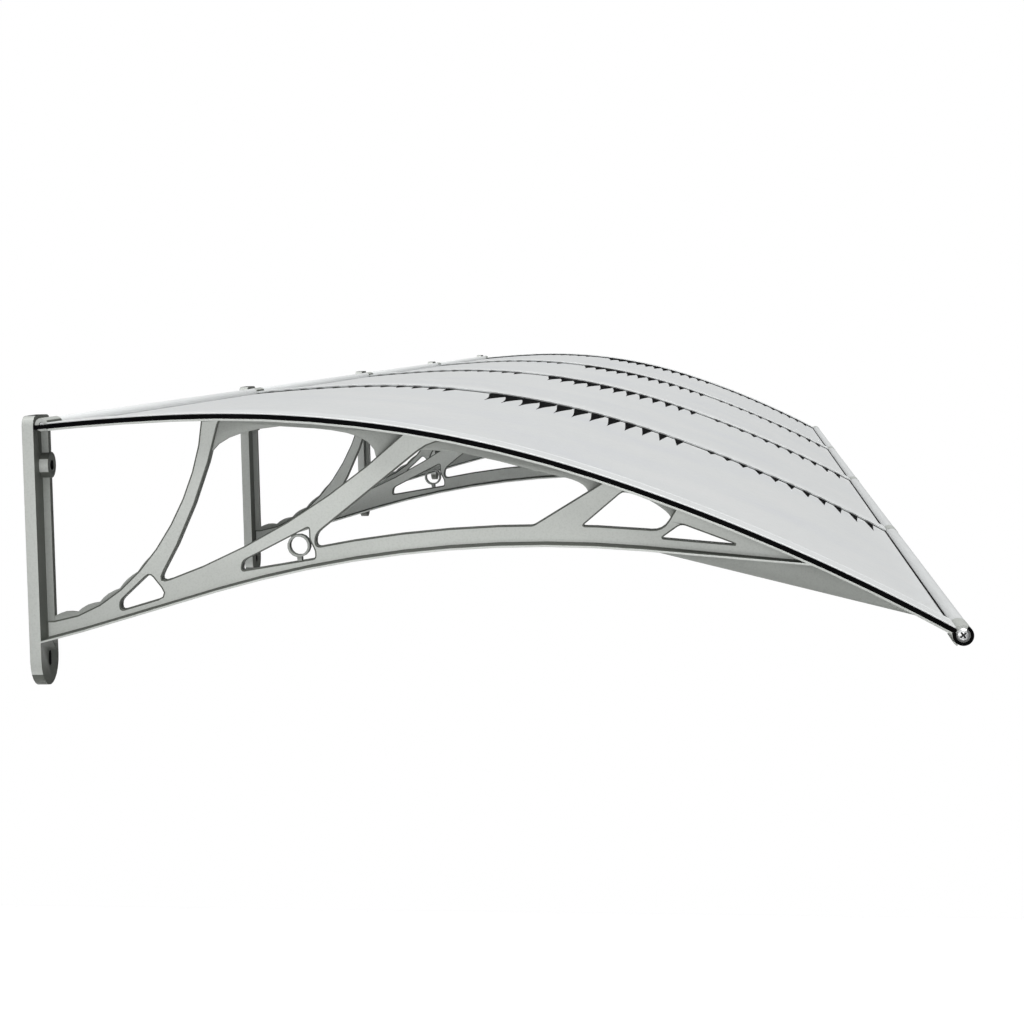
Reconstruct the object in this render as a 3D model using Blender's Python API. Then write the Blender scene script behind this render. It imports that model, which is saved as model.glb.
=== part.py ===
# Door canopy: five cast cantilever brackets carry four curved polycarbonate sheets.
# Frame: X points out from the wall, Y runs along the wall, Z is up. The origin is on the wall,
# at the middle of the centre bracket's wall plate. All sizes are in metres, all angles in degrees.

import math

import bmesh
import bpy
import numpy as np

# Driving sizes of the whole canopy
BRACKET_COUNT = 5
BAY_WIDTH = 1.000            # from bracket to bracket
SEAT_GAP = 0.0003            # left between pieces that touch
BEAM_WIDTH = 0.058           # wall plate and flanges, along the wall

# Rim: the curve of the cover strip's underside, from the wall plate to the nose
RIM_DROP = 0.010             # below the top of the wall plate
RIM_HEADING = 4.6            # it leaves the wall rising
REAR_RUN = 0.150
REAR_RADIUS = 2.60
CROWN_RUN = 0.460
CROWN_RADIUS = 1.27
FRONT_RUN = 0.396
FRONT_RADIUS = 2.20
RIM_SEGMENTS = 20

# What lies between the bracket's rim flange and the cover strip
SLOT_HEIGHT = 0.005
FLANGE_THICKNESS = 0.0022
SHEET_THICKNESS = 0.0025
STRIP_THICKNESS = 0.0015
STRIP_EDGE_CHAMFER = 0.0006
SEAL_STEM_WIDTH = 0.006      # between the edges of two sheets
END_WALL_THICKNESS = 0.0037  # of the seal that closes the outer slot

# Toothed lip of the seals at the joints
TEETH_PER_SEGMENT = 2
TOOTH_LENGTH = 0.105
TOOTH_WIDTH = 0.0215
LIP_THICKNESS = 0.0009
TOOTH_ROOT = 0.004           # hidden in the pad

# Wall plate
PLATE_THICKNESS = 0.0125
PLATE_HEIGHT = 0.292
PLATE_TOP_ROUND = 0.010
SLOT_HOLE_WIDTH = 0.009
SLOT_HOLE_HEIGHT = 0.017
WALL_BOSS_DIAMETER = 0.028
WALL_BOSS_LENGTH = 0.0098
WALL_BOSS_DROP = 0.054       # below the top of the plate
WALL_HOLE_DIAMETER = 0.011
RIB_DEPTH = 0.0078
RIB_THICKNESS = 0.006

# Lower chord: its underside rises straight from the plate, bends over and runs down to the rim
CHORD_FOOT = 0.0474          # above the foot of the plate
CHORD_HEADING = 15.6
CHORD_STRAIGHT = 0.1926
CHORD_BEND_RUN = 0.4647
CHORD_RADIUS = 1.25
CHORD_TAIL = 0.250
CHORD_SEGMENTS = 18
CHORD_FLANGE = 0.002
CHORD_DEPTH = 0.0205

# Web and struts
WEB_THICKNESS = 0.012
GUSSET_THICKNESS = 0.005
FIN_THICKNESS = 0.004
FOOT_DEPTH = 0.0200          # of the arm where it meets the rib
STRUT_1_TOP = 0.1905         # distances of the struts' edges from the wall, at the rim
STRUT_1_TOP_WIDTH = 0.0195
STRUT_1_FLARE = 0.007        # how far its front edge turns forward under the rim
HOLLOW_START = 5.7           # headings of the hollow edge at its foot and at the rim
HOLLOW_END = 85.4
HOLLOW_REACH = 0.330
STRUT_1_FRONT_BOW = 0.0075
CROTCH_X = 0.1365            # where the front of strut 1 meets the back of strut 2
CROTCH_RISE = 0.0265
STRUT_2_TOP = 0.4085
STRUT_2_TOP_WIDTH = 0.0315
STRUT_2_FLARE = 0.024
STRUT_2_BOW = 0.016
STRUT_2_LEAN = 0.1527        # run of its front edge from the chord to the rim
ARCH_END = 0.3105            # where the long opening ends bluntly, before that edge's foot
STRUT_3_TOP = 0.6165
STRUT_3_TOP_WIDTH = 0.0220
STRUT_3_FLARE = 0.009
STRUT_3_LEAN = 0.0755
STRUT_3_FRONT_LEAN = 0.0460
STRUT_4_TOP = 0.6900
STRUT_4_LEAN = 0.0150

# Thin lips that round off the openings under the rim, each from left to right: drop of its end below the
# strip, four bends as (distance from the wall, depth below the flange), drop of its other end
LIP_2 = (0.0410, (0.2150, 0.0125), (0.2750, 0.0057), (0.3300, 0.0060), (0.3770, 0.0065), 0.0370)
LIP_3 = (0.0225, (0.4320, 0.0125), (0.4500, 0.0115), (0.5750, 0.0078), (0.5965, 0.0065), 0.0225)
LIP_4 = (0.0135, (0.6370, 0.0020), (0.6500, 0.0024), (0.6620, 0.0027), (0.6800, 0.0060), 0.0200)
SKIRT_START = 0.647          # the thin skirt under the front of the chord
SKIRT_END = 0.940

# Small openings, as corners: distance from the wall, rise above the chord's underside
FOOT_WINDOW = ((0.1285, 0.0405), (0.1480, 0.0100), (0.0950, 0.0100), (0.0950, 0.0200))
FOOT_WINDOW_ROUNDS = (0.006, 0.012, 0.0045, 0.0045)
RING_WINDOW = ((0.2295, 0.0145), (0.3095, 0.0090), (0.3095, 0.0170), (0.3037, 0.0300), (0.3035, 0.0433),
               (0.2310, 0.0240))
RING_WINDOW_ROUNDS = (0.003, 0.003, 0.003, 0.003, 0.003, 0.004)
RING_X = 0.2917
RING_RISE = 0.0260
RING_OUTER = 0.0122
RING_INNER = 0.0098
RING_THICKNESS = 0.010
RING_STUB = 0.005
NOSE_WINDOW = ((0.6735, 0.0128), (0.7500, 0.0126), (0.6939, 0.0290))
NOSE_WINDOW_ROUNDS = (0.003, 0.004, 0.005)

# Scalloped fin on the hollow edge of strut 1
FIN_HEIGHT = 0.0075
FIN_RUN = 0.1375
SCALLOP_PITCH = 0.0275
SCALLOP_HEIGHT = 0.0032
SCALLOP_STEPS = 4

# Round bosses at both ends of the rim and the bars between them
NOSE_BOSS_RADIUS = 0.0105
NOSE_BAR_RADIUS = 0.0100
NOSE_SLOT_DEPTH = 0.0045
REAR_BOSS_RADIUS = 0.0072
REAR_BAR_RADIUS = 0.0066
REAR_SLOT_DEPTH = 0.0036
REAR_BOSS_SETBACK = 0.008    # of its axis from the plate's face
REAR_BOSS_LEVEL = 0.0        # of its axis, up from the strip's underside
PORT_RADIUS = 0.0026
PIN_CLEARANCE = 0.0003
PIN_GRIP = 0.020             # length of a pin or screw inside a bar
SCREW_HEAD_RADIUS = 0.0067
SCREW_HEAD_HEIGHT = 0.0032
CROSS_LENGTH = 0.0078
CROSS_WIDTH = 0.0018
CROSS_DEPTH = 0.0014
HOOK_INNER = 0.0072          # the end seal's hook around the nose
HOOK_END = 448.0             # round from the wall side, against the rim's heading
DRIP_THICKNESS = 0.0018
DRIP_START = 240.0
DRIP_END = 268.0


# Helpers for outlines in the X-Z plane

class Path:
    """A chain of tangent arcs as a polyline with evenly spaced stations."""

    def __init__(self, start, heading, runs, segments):
        lengths = [length for length, _ in runs]
        self.length = sum(lengths)
        self.s = np.linspace(0.0, self.length, segments + 1)
        x, z, turn = start[0], start[1], math.radians(heading)
        xs, zs, turns = [], [], []
        begin = 0.0
        for i, (length, radius) in enumerate(runs):
            last = i == len(runs) - 1
            here = self.s[(self.s >= begin - 1e-9) & ((self.s < begin + length - 1e-9) | last)] - begin
            for run in list(here) + [length]:
                bend = run / radius if radius else 0.0
                chord = run if not bend else 2.0 * radius * math.sin(bend / 2.0)
                px = x + chord * math.cos(turn - bend / 2.0)
                pz = z + chord * math.sin(turn - bend / 2.0)
                xs.append(px)
                zs.append(pz)
                turns.append(turn - bend)
            x, z, turn = xs.pop(), zs.pop(), turns.pop()
            begin += length
        self.points = np.array([xs, zs]).T
        self.turns = np.array(turns)
        self.normals = np.array([-np.sin(self.turns), np.cos(self.turns)]).T

    def at(self, s, lift=0.0):
        """Points at run s, lifted off the path along its normal."""
        line = self.points + self.normals * lift
        return np.array([np.interp(s, self.s, line[:, 0]), np.interp(s, self.s, line[:, 1])]).T

    def between(self, start, end):
        """Runs from start to end, with the stations between them."""
        low, high = min(start, end), max(start, end)
        margin = 0.15 * self.length / (len(self.s) - 1)
        inside = self.s[(self.s > low + margin) & (self.s < high - margin)]
        runs = np.concatenate([[low], inside, [high]])
        return runs if start < end else runs[::-1]

    def run_at(self, x, lift=0.0):
        """The run at which the lifted path passes a distance x from the wall."""
        return float(np.interp(x, self.at(self.s, lift)[:, 0], self.s))

    def height(self, x, lift=0.0):
        line = self.at(self.s, lift)
        return float(np.interp(x, line[:, 0], line[:, 1]))

    def stretch(self, x_start, x_end, lift=0.0):
        """The lifted path between two distances from the wall, as points."""
        return self.at(self.between(self.run_at(x_start, lift), self.run_at(x_end, lift)), lift)


def straight(start, end):
    return np.array([start, end], dtype=float)


def bowed(start, end, bow, steps):
    """Circular arc from start to end; a positive bow bulges to the right of the way it runs."""
    a, b = np.array(start, dtype=float), np.array(end, dtype=float)
    chord = np.linalg.norm(b - a)
    along = (b - a) / chord
    right = np.array([along[1], -along[0]])
    radius = (chord * chord / 4.0 + bow * bow) / (2.0 * abs(bow))
    half = math.asin(min(1.0, chord / (2.0 * radius)))
    angles = np.linspace(-half, half, steps + 1)
    side = math.copysign(1.0, bow)
    across = side * (radius * np.cos(angles) - radius * math.cos(half))
    return (a + b) / 2.0 + np.outer(radius * np.sin(angles), along) + np.outer(across, right)


def blended(start, start_heading, end, end_heading, reach, steps):
    """Smooth curve between two points with given headings; reach is the handles' share of the chord."""
    a, b = np.array(start, dtype=float), np.array(end, dtype=float)
    handle = reach * np.linalg.norm(b - a)
    leaving, arriving = math.radians(start_heading), math.radians(end_heading)
    first = a + handle * np.array([math.cos(leaving), math.sin(leaving)])
    last = b - handle * np.array([math.cos(arriving), math.sin(arriving)])
    t = np.linspace(0.0, 1.0, steps + 1)[:, None]
    return (1 - t) ** 3 * a + 3 * (1 - t) ** 2 * t * first + 3 * (1 - t) * t ** 2 * last + t ** 3 * b


def trimmed(line, start, end):
    """The polyline without its first and last stretch."""
    line = np.asarray(line)
    steps = np.linalg.norm(np.diff(line, axis=0), axis=1)
    runs = np.concatenate([[0.0], np.cumsum(steps)])
    low, high = start, runs[-1] - end
    inside = runs[(runs > low + 1e-5) & (runs < high - 1e-5)]
    runs_kept = np.concatenate([[low], inside, [high]])
    return np.array([np.interp(runs_kept, runs, line[:, 0]), np.interp(runs_kept, runs, line[:, 1])]).T


def corner(before, apex, after, steps):
    """Points of the parabola that rounds a corner, without its two ends."""
    t = np.linspace(0.0, 1.0, steps + 2)[1:-1, None]
    return (1 - t) ** 2 * before + 2 * t * (1 - t) * apex + t ** 2 * after


def chained(sides, setbacks, steps=2, closed=True):
    """Joins sides end to end; setbacks[i] rounds the corner where side i begins."""
    count = len(sides)
    parts = []
    for i, side in enumerate(sides):
        start = setbacks[i] if closed or i > 0 else 0.0
        end = setbacks[(i + 1) % count] if closed or i < count - 1 else 0.0
        parts.append(trimmed(side, start, end))
    points = []
    for i, part in enumerate(parts):
        points.extend(part)
        if not closed and i == count - 1:
            break
        following = (i + 1) % count
        if setbacks[following] > 0.0:
            points.extend(corner(part[-1], np.asarray(sides[i])[-1], parts[following][0], steps))
    kept = [points[0]]
    for point in points[1:]:
        if np.linalg.norm(point - kept[-1]) > 1e-5:
            kept.append(point)
    if closed and np.linalg.norm(kept[0] - kept[-1]) < 1e-5:
        kept.pop()
    return np.array(kept)


def ring_sector(centre, radius, start, end, steps):
    angles = np.radians(np.linspace(start, end, steps + 1))
    return np.array([centre[0] + radius * np.cos(angles), centre[1] + radius * np.sin(angles)]).T


# Helpers for solids

def add_object(name, verts, faces, material=None):
    mesh = bpy.data.meshes.new(name)
    mesh.from_pydata([tuple(map(float, v)) for v in verts], [], [tuple(map(int, f)) for f in faces])
    work = bmesh.new()
    work.from_mesh(mesh)
    bmesh.ops.recalc_face_normals(work, faces=work.faces)
    work.to_mesh(mesh)
    work.free()
    obj = bpy.data.objects.new(name, mesh)
    bpy.context.scene.collection.objects.link(obj)
    if material:
        mesh.materials.append(material)
    return obj


def prism(name, outline, low, high, material=None, axis="Y"):
    """Extrudes a closed outline from low to high along the axis. The outline is X-Z, or Y-Z along X."""
    count = len(outline)
    if axis == "Y":
        verts = [(a, low, b) for a, b in outline] + [(a, high, b) for a, b in outline]
    else:
        verts = [(low, a, b) for a, b in outline] + [(high, a, b) for a, b in outline]
    faces = [tuple(range(count)), tuple(range(2 * count - 1, count - 1, -1))]
    faces += [(i, (i + 1) % count, count + (i + 1) % count, count + i) for i in range(count)]
    return add_object(name, verts, faces, material)


def swept(name, path, runs, section, material=None):
    """Carries a closed section of (y, lift) points along a path."""
    rows = [path.at(runs, lift) for _, lift in section]
    size = len(section)
    verts = []
    for i in range(len(runs)):
        verts += [(rows[k][i, 0], section[k][0], rows[k][i, 1]) for k in range(size)]
    faces = []
    for i in range(len(runs) - 1):
        for k in range(size):
            after = (k + 1) % size
            faces.append((i * size + k, i * size + after, (i + 1) * size + after, (i + 1) * size + k))
    faces += [tuple(range(size)), tuple(range(len(verts) - 1, len(verts) - size - 1, -1))]
    return add_object(name, verts, faces, material)


def circle(radius, sides, centre=(0.0, 0.0), turn=0.0):
    angles = np.radians(turn) + 2.0 * np.pi * (np.arange(sides) + 0.5) / sides
    return np.array([centre[0] + radius * np.cos(angles), centre[1] + radius * np.sin(angles)]).T


def combine(base, others, operation):
    """Joins the others to the base or cuts them from it, then drops them."""
    for other in others:
        modifier = base.modifiers.new(operation.lower(), "BOOLEAN")
        modifier.operation = operation
        modifier.solver = "EXACT"
        modifier.object = other
    depsgraph = bpy.context.evaluated_depsgraph_get()
    mesh = bpy.data.meshes.new_from_object(base.evaluated_get(depsgraph))
    base.modifiers.clear()
    base.data = mesh
    for other in others:
        bpy.data.objects.remove(other)
    return base


def tidy_faces(obj):
    """Merges coplanar faces that a Boolean has split."""
    work = bmesh.new()
    work.from_mesh(obj.data)
    bmesh.ops.remove_doubles(work, verts=work.verts, dist=1e-6)
    bmesh.ops.dissolve_limit(work, angle_limit=math.radians(0.05), verts=work.verts, edges=work.edges)
    work.to_mesh(obj.data)
    work.free()


def smooth_round_faces(obj, angle=35.0):
    obj.data.shade_smooth()
    obj.data.set_sharp_from_angle(angle=math.radians(angle))


def moved_copy(obj, name, y, mirrored=False):
    """A new object from the same shape, placed at y and mirrored along the wall if asked."""
    mesh = obj.data.copy()
    mesh.name = name
    if mirrored:
        work = bmesh.new()
        work.from_mesh(mesh)
        for vert in work.verts:
            vert.co.y = -vert.co.y
        bmesh.ops.reverse_faces(work, faces=work.faces)
        work.to_mesh(mesh)
        work.free()
    copy = bpy.data.objects.new(name, mesh)
    copy.location.y = y
    bpy.context.scene.collection.objects.link(copy)
    return copy


def finish(name, colour, roughness, metallic):
    material = bpy.data.materials.new(name)
    material.use_nodes = True
    shader = material.node_tree.nodes["Principled BSDF"]
    shader.inputs["Base Color"].default_value = (*colour, 1.0)
    shader.inputs["Roughness"].default_value = roughness
    shader.inputs["Metallic"].default_value = metallic
    material.diffuse_color = (*colour, 1.0)
    return material


for old in list(bpy.data.objects):
    bpy.data.objects.remove(old)

CAST = finish("cast_aluminium", (0.44, 0.46, 0.44), 0.42, 0.6)
EXTRUDED = finish("extruded_aluminium", (0.64, 0.65, 0.65), 0.35, 0.7)
POLYCARBONATE = finish("frosted_polycarbonate", (0.68, 0.69, 0.69), 0.22, 0.0)
RUBBER = finish("black_rubber", (0.012, 0.012, 0.012), 0.6, 0.0)
STEEL = finish("bright_screw_steel", (0.75, 0.75, 0.74), 0.25, 1.0)

# The two driving curves
half_beam = BEAM_WIDTH / 2.0
plate_top = PLATE_HEIGHT / 2.0
plate_foot = -PLATE_HEIGHT / 2.0
rim = Path((PLATE_THICKNESS, plate_top - RIM_DROP), RIM_HEADING,
           ((REAR_RUN, REAR_RADIUS), (CROWN_RUN, CROWN_RADIUS), (FRONT_RUN, FRONT_RADIUS)), RIM_SEGMENTS)
chord = Path((PLATE_THICKNESS, plate_foot + CHORD_FOOT), CHORD_HEADING,
             ((CHORD_STRAIGHT, None), (CHORD_BEND_RUN, CHORD_RADIUS), (CHORD_TAIL, None)), CHORD_SEGMENTS)

# Levels in the slot, measured up from the strip's underside
flange_top = -SLOT_HEIGHT
flange_mid = flange_top - FLANGE_THICKNESS / 2.0
flange_bottom = flange_top - FLANGE_THICKNESS
sheet_bottom = flange_top + SEAT_GAP
sheet_top = sheet_bottom + SHEET_THICKNESS
pad_bottom = sheet_top + SEAT_GAP
pad_top = -SEAT_GAP
nose_level = -SLOT_HEIGHT / 2.0

boss_half = half_beam - END_WALL_THICKNESS - SEAT_GAP
rear_run = REAR_BOSS_SETBACK
nose_run = rim.length
rear_centre = rim.at(rear_run, REAR_BOSS_LEVEL)
nose_centre = rim.at(nose_run, nose_level)
rear_turn = math.degrees(rim.turns[0])
nose_turn = math.degrees(rim.turns[-1])
strip_start = rear_run + REAR_BOSS_RADIUS + SEAT_GAP
strip_end = nose_run - NOSE_BOSS_RADIUS - SEAT_GAP


# Bracket

def above_chord(x, rise):
    return np.array([x, chord.height(x) + rise])


def on_rim(x):
    """A point inside the rim flange, where the web is rooted."""
    return np.array([x, rim.height(x, flange_mid)])


def flared(edge, run, steps=2):
    """An edge that rises to the rim and turns forward along it."""
    apex = np.asarray(edge)[-1]
    end = on_rim(apex[0] + run)
    stem = trimmed(edge, 0.0, run)
    return np.vstack([stem, corner(stem[-1], apex, end, steps), [end]])


def meeting_run():
    """The distance from the wall at which the chord flange runs into the rim flange."""
    low, high = STRUT_4_TOP, chord.points[-1, 0]
    for _ in range(40):
        middle = (low + high) / 2.0
        if rim.height(middle, flange_mid) > chord.height(middle, CHORD_FLANGE / 2.0):
            low = middle
        else:
            high = middle
    return (low + high) / 2.0


def chord_top(x_start, x_end):
    return chord.stretch(x_start, x_end, CHORD_DEPTH)


rib_face = PLATE_THICKNESS + RIB_DEPTH
plate_inside = PLATE_THICKNESS / 2.0
meet_x = meeting_run()
foot_point = above_chord(rib_face, FOOT_DEPTH)
crotch = above_chord(CROTCH_X, CROTCH_RISE)
strut_2_foot_x = STRUT_2_TOP + STRUT_2_TOP_WIDTH - STRUT_2_LEAN
strut_3_foot_x = STRUT_3_TOP - STRUT_3_LEAN
strut_3_front_x = STRUT_3_TOP + STRUT_3_TOP_WIDTH - STRUT_3_FRONT_LEAN
strut_4_foot_x = STRUT_4_TOP - STRUT_4_LEAN

# Edges of the struts, each from its lower end to the rim
hollow_edge = blended(foot_point, HOLLOW_START, on_rim(STRUT_1_TOP), HOLLOW_END, HOLLOW_REACH, 10)
strut_1_front = bowed(crotch, on_rim(STRUT_1_TOP + STRUT_1_TOP_WIDTH), STRUT_1_FRONT_BOW, 4)
strut_2_back = bowed(crotch, on_rim(STRUT_2_TOP), STRUT_2_BOW, 6)
strut_2_foot = chord_top(strut_2_foot_x, strut_2_foot_x + 0.01)[0]
strut_2_rim = on_rim(STRUT_2_TOP + STRUT_2_TOP_WIDTH)
arch_shoulder = np.array([ARCH_END, np.interp(ARCH_END, [strut_2_foot[0], strut_2_rim[0]],
                                              [strut_2_foot[1], strut_2_rim[1]])])
strut_2_front = straight(arch_shoulder, strut_2_rim)
strut_3_back = straight(chord_top(strut_3_foot_x, strut_3_foot_x + 0.01)[0], on_rim(STRUT_3_TOP))
strut_3_front = straight(chord_top(strut_3_front_x, strut_3_front_x + 0.01)[0],
                         on_rim(STRUT_3_TOP + STRUT_3_TOP_WIDTH))
strut_4_back = straight(chord_top(strut_4_foot_x, strut_4_foot_x + 0.01)[0], on_rim(STRUT_4_TOP))


def rim_side(x_start, x_end):
    return rim.stretch(x_start, x_end, flange_mid)


def web_outline():
    """One walk round the web: along the chord to the nose, then back in and out of the openings."""
    top_1 = STRUT_1_TOP + STRUT_1_TOP_WIDTH + STRUT_1_FLARE
    top_2 = STRUT_2_TOP + STRUT_2_TOP_WIDTH + STRUT_2_FLARE
    top_3 = STRUT_3_TOP + STRUT_3_TOP_WIDTH + STRUT_3_FLARE
    heel = np.array([plate_inside, foot_point[1]])
    toe = np.array([plate_inside, chord.at(0.0, CHORD_FLANGE / 2.0)[1]])
    sides = [
        np.vstack([[toe], chord.stretch(PLATE_THICKNESS, meet_x, CHORD_FLANGE / 2.0)]),
        rim_side(meet_x, STRUT_4_TOP),
        strut_4_back[::-1],
        chord_top(strut_4_foot_x, strut_3_front_x),
        flared(strut_3_front, STRUT_3_FLARE),
        rim_side(top_3, STRUT_3_TOP),
        strut_3_back[::-1],
        chord_top(strut_3_foot_x, ARCH_END),
        straight(chord_top(ARCH_END, ARCH_END + 0.01)[0], arch_shoulder),
        flared(strut_2_front, STRUT_2_FLARE, steps=3),
        rim_side(top_2, STRUT_2_TOP),
        strut_2_back[::-1],
        flared(strut_1_front, STRUT_1_FLARE),
        rim_side(top_1, STRUT_1_TOP),
        hollow_edge[::-1],
        straight(foot_point, heel),
        straight(heel, toe),
    ]
    setbacks = [0.0, 0.0, 0.0, 0.012, 0.003, 0.0, 0.0, 0.003, 0.0055,
                0.0075, 0.0, 0.0, 0.0155, 0.0, 0.0, 0.0, 0.0]
    return chained(sides, setbacks, steps=3)


def window(corners, rounds):
    """An opening near the chord, from corners given by their rise above its underside."""
    points = [above_chord(x, rise) for x, rise in corners]
    sides = [straight(point, points[(i + 1) % len(points)]) for i, point in enumerate(points)]
    return chained(sides, rounds, steps=2)


def parallel_shift(line, distance):
    """Shift of each point of a line to its right."""
    along = np.gradient(line, axis=0)
    along /= np.linalg.norm(along, axis=1)[:, None]
    return np.array([along[:, 1], -along[:, 0]]).T * distance


def below_rim(edge, drop):
    """The point of a strut's edge that lies a drop below the strip's underside."""
    drops = np.array([rim.height(x) - z for x, z in edge])[::-1]
    return np.array([np.interp(drop, drops, edge[::-1, 0]), np.interp(drop, drops, edge[::-1, 1])])


def lip(name, left_edge, shape, right_edge):
    """Thin plate under the rim that rounds off the top corners of an opening."""
    left_drop, *bends, right_drop = shape
    left, right = below_rim(left_edge, left_drop), below_rim(right_edge, right_drop)
    levels = [flange_bottom - depth for _, depth in bends]
    low = [rim.at(rim.run_at(x, level), level) for (x, _), level in zip(bends, levels)]
    middle = rim.stretch(bends[1][0], bends[2][0], (levels[1] + levels[2]) / 2.0)[1:-1]
    lower_edge = np.vstack([[left], corner(left, low[0], low[1], 4), [low[1]], middle, [low[2]],
                            corner(low[2], low[3], right, 4), [right]])
    root = 0.003
    top = rim_side(right_edge[-1][0] + root, left_edge[-1][0] - root)
    outline = np.vstack([[left - [root, 0.0]], lower_edge, [right + [root, 0.0]], top])
    return prism(name, outline, -GUSSET_THICKNESS / 2.0, GUSSET_THICKNESS / 2.0)


def skirt():
    """Thin plate below the chord's front end, straight underneath."""
    start = np.array([SKIRT_START, chord.height(SKIRT_START, CHORD_FLANGE / 2.0)])
    end = on_rim(SKIRT_END)
    outline = np.vstack([[start, end], rim_side(SKIRT_END, meet_x)[1:],
                         chord.stretch(meet_x, SKIRT_START, CHORD_FLANGE / 2.0)[1:-1]])
    return prism("skirt", outline, -GUSSET_THICKNESS / 2.0, GUSSET_THICKNESS / 2.0)


def fin():
    """Scalloped edge that follows the hollow side of strut 1 and runs out along it."""
    steps = np.linalg.norm(np.diff(hollow_edge, axis=0), axis=1)
    runs = np.concatenate([[0.0], np.cumsum(steps)])
    count = int(round(FIN_RUN / SCALLOP_PITCH)) * SCALLOP_STEPS
    s = np.linspace(0.0, FIN_RUN, count + 1)
    line = np.array([np.interp(s, runs, hollow_edge[:, 0]), np.interp(s, runs, hollow_edge[:, 1])]).T
    fade = 1.0 - s / FIN_RUN
    bump = np.abs(np.sin(np.pi * s / SCALLOP_PITCH))
    height = (FIN_HEIGHT - SCALLOP_HEIGHT) * fade + SCALLOP_HEIGHT * bump * np.sqrt(fade)
    crest = line - parallel_shift(line, 1.0) * height[:, None]
    root = line + parallel_shift(line, 1.0) * 0.003
    crest[0, 0] = rib_face - 0.002
    root[0, 0] = rib_face - 0.002
    outline = np.vstack([crest, root[::-SCALLOP_STEPS]])
    return prism("fin", outline, -FIN_THICKNESS / 2.0, FIN_THICKNESS / 2.0)


def wall_plate():
    foot_centre = plate_foot + half_beam
    foot = ring_sector((0.0, foot_centre), half_beam, 180.0, 360.0, 12)
    top_z = plate_top - PLATE_TOP_ROUND
    side_y = half_beam - PLATE_TOP_ROUND
    right = ring_sector((side_y, top_z), PLATE_TOP_ROUND, 0.0, 90.0, 3)
    left = ring_sector((-side_y, top_z), PLATE_TOP_ROUND, 90.0, 180.0, 3)
    plate = prism("wall_plate", np.vstack([foot, right, left]), 0.0, PLATE_THICKNESS, axis="X")
    straight_part = (SLOT_HOLE_HEIGHT - SLOT_HOLE_WIDTH) / 2.0
    radius = SLOT_HOLE_WIDTH / 2.0
    hole = np.vstack([ring_sector((0.0, foot_centre + straight_part), radius, 0.0, 180.0, 4),
                      ring_sector((0.0, foot_centre - straight_part), radius, 180.0, 360.0, 4)])
    slot = prism("slot_hole", hole, -0.01, PLATE_THICKNESS + 0.01, axis="X")
    return combine(plate, [slot], "DIFFERENCE")


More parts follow.
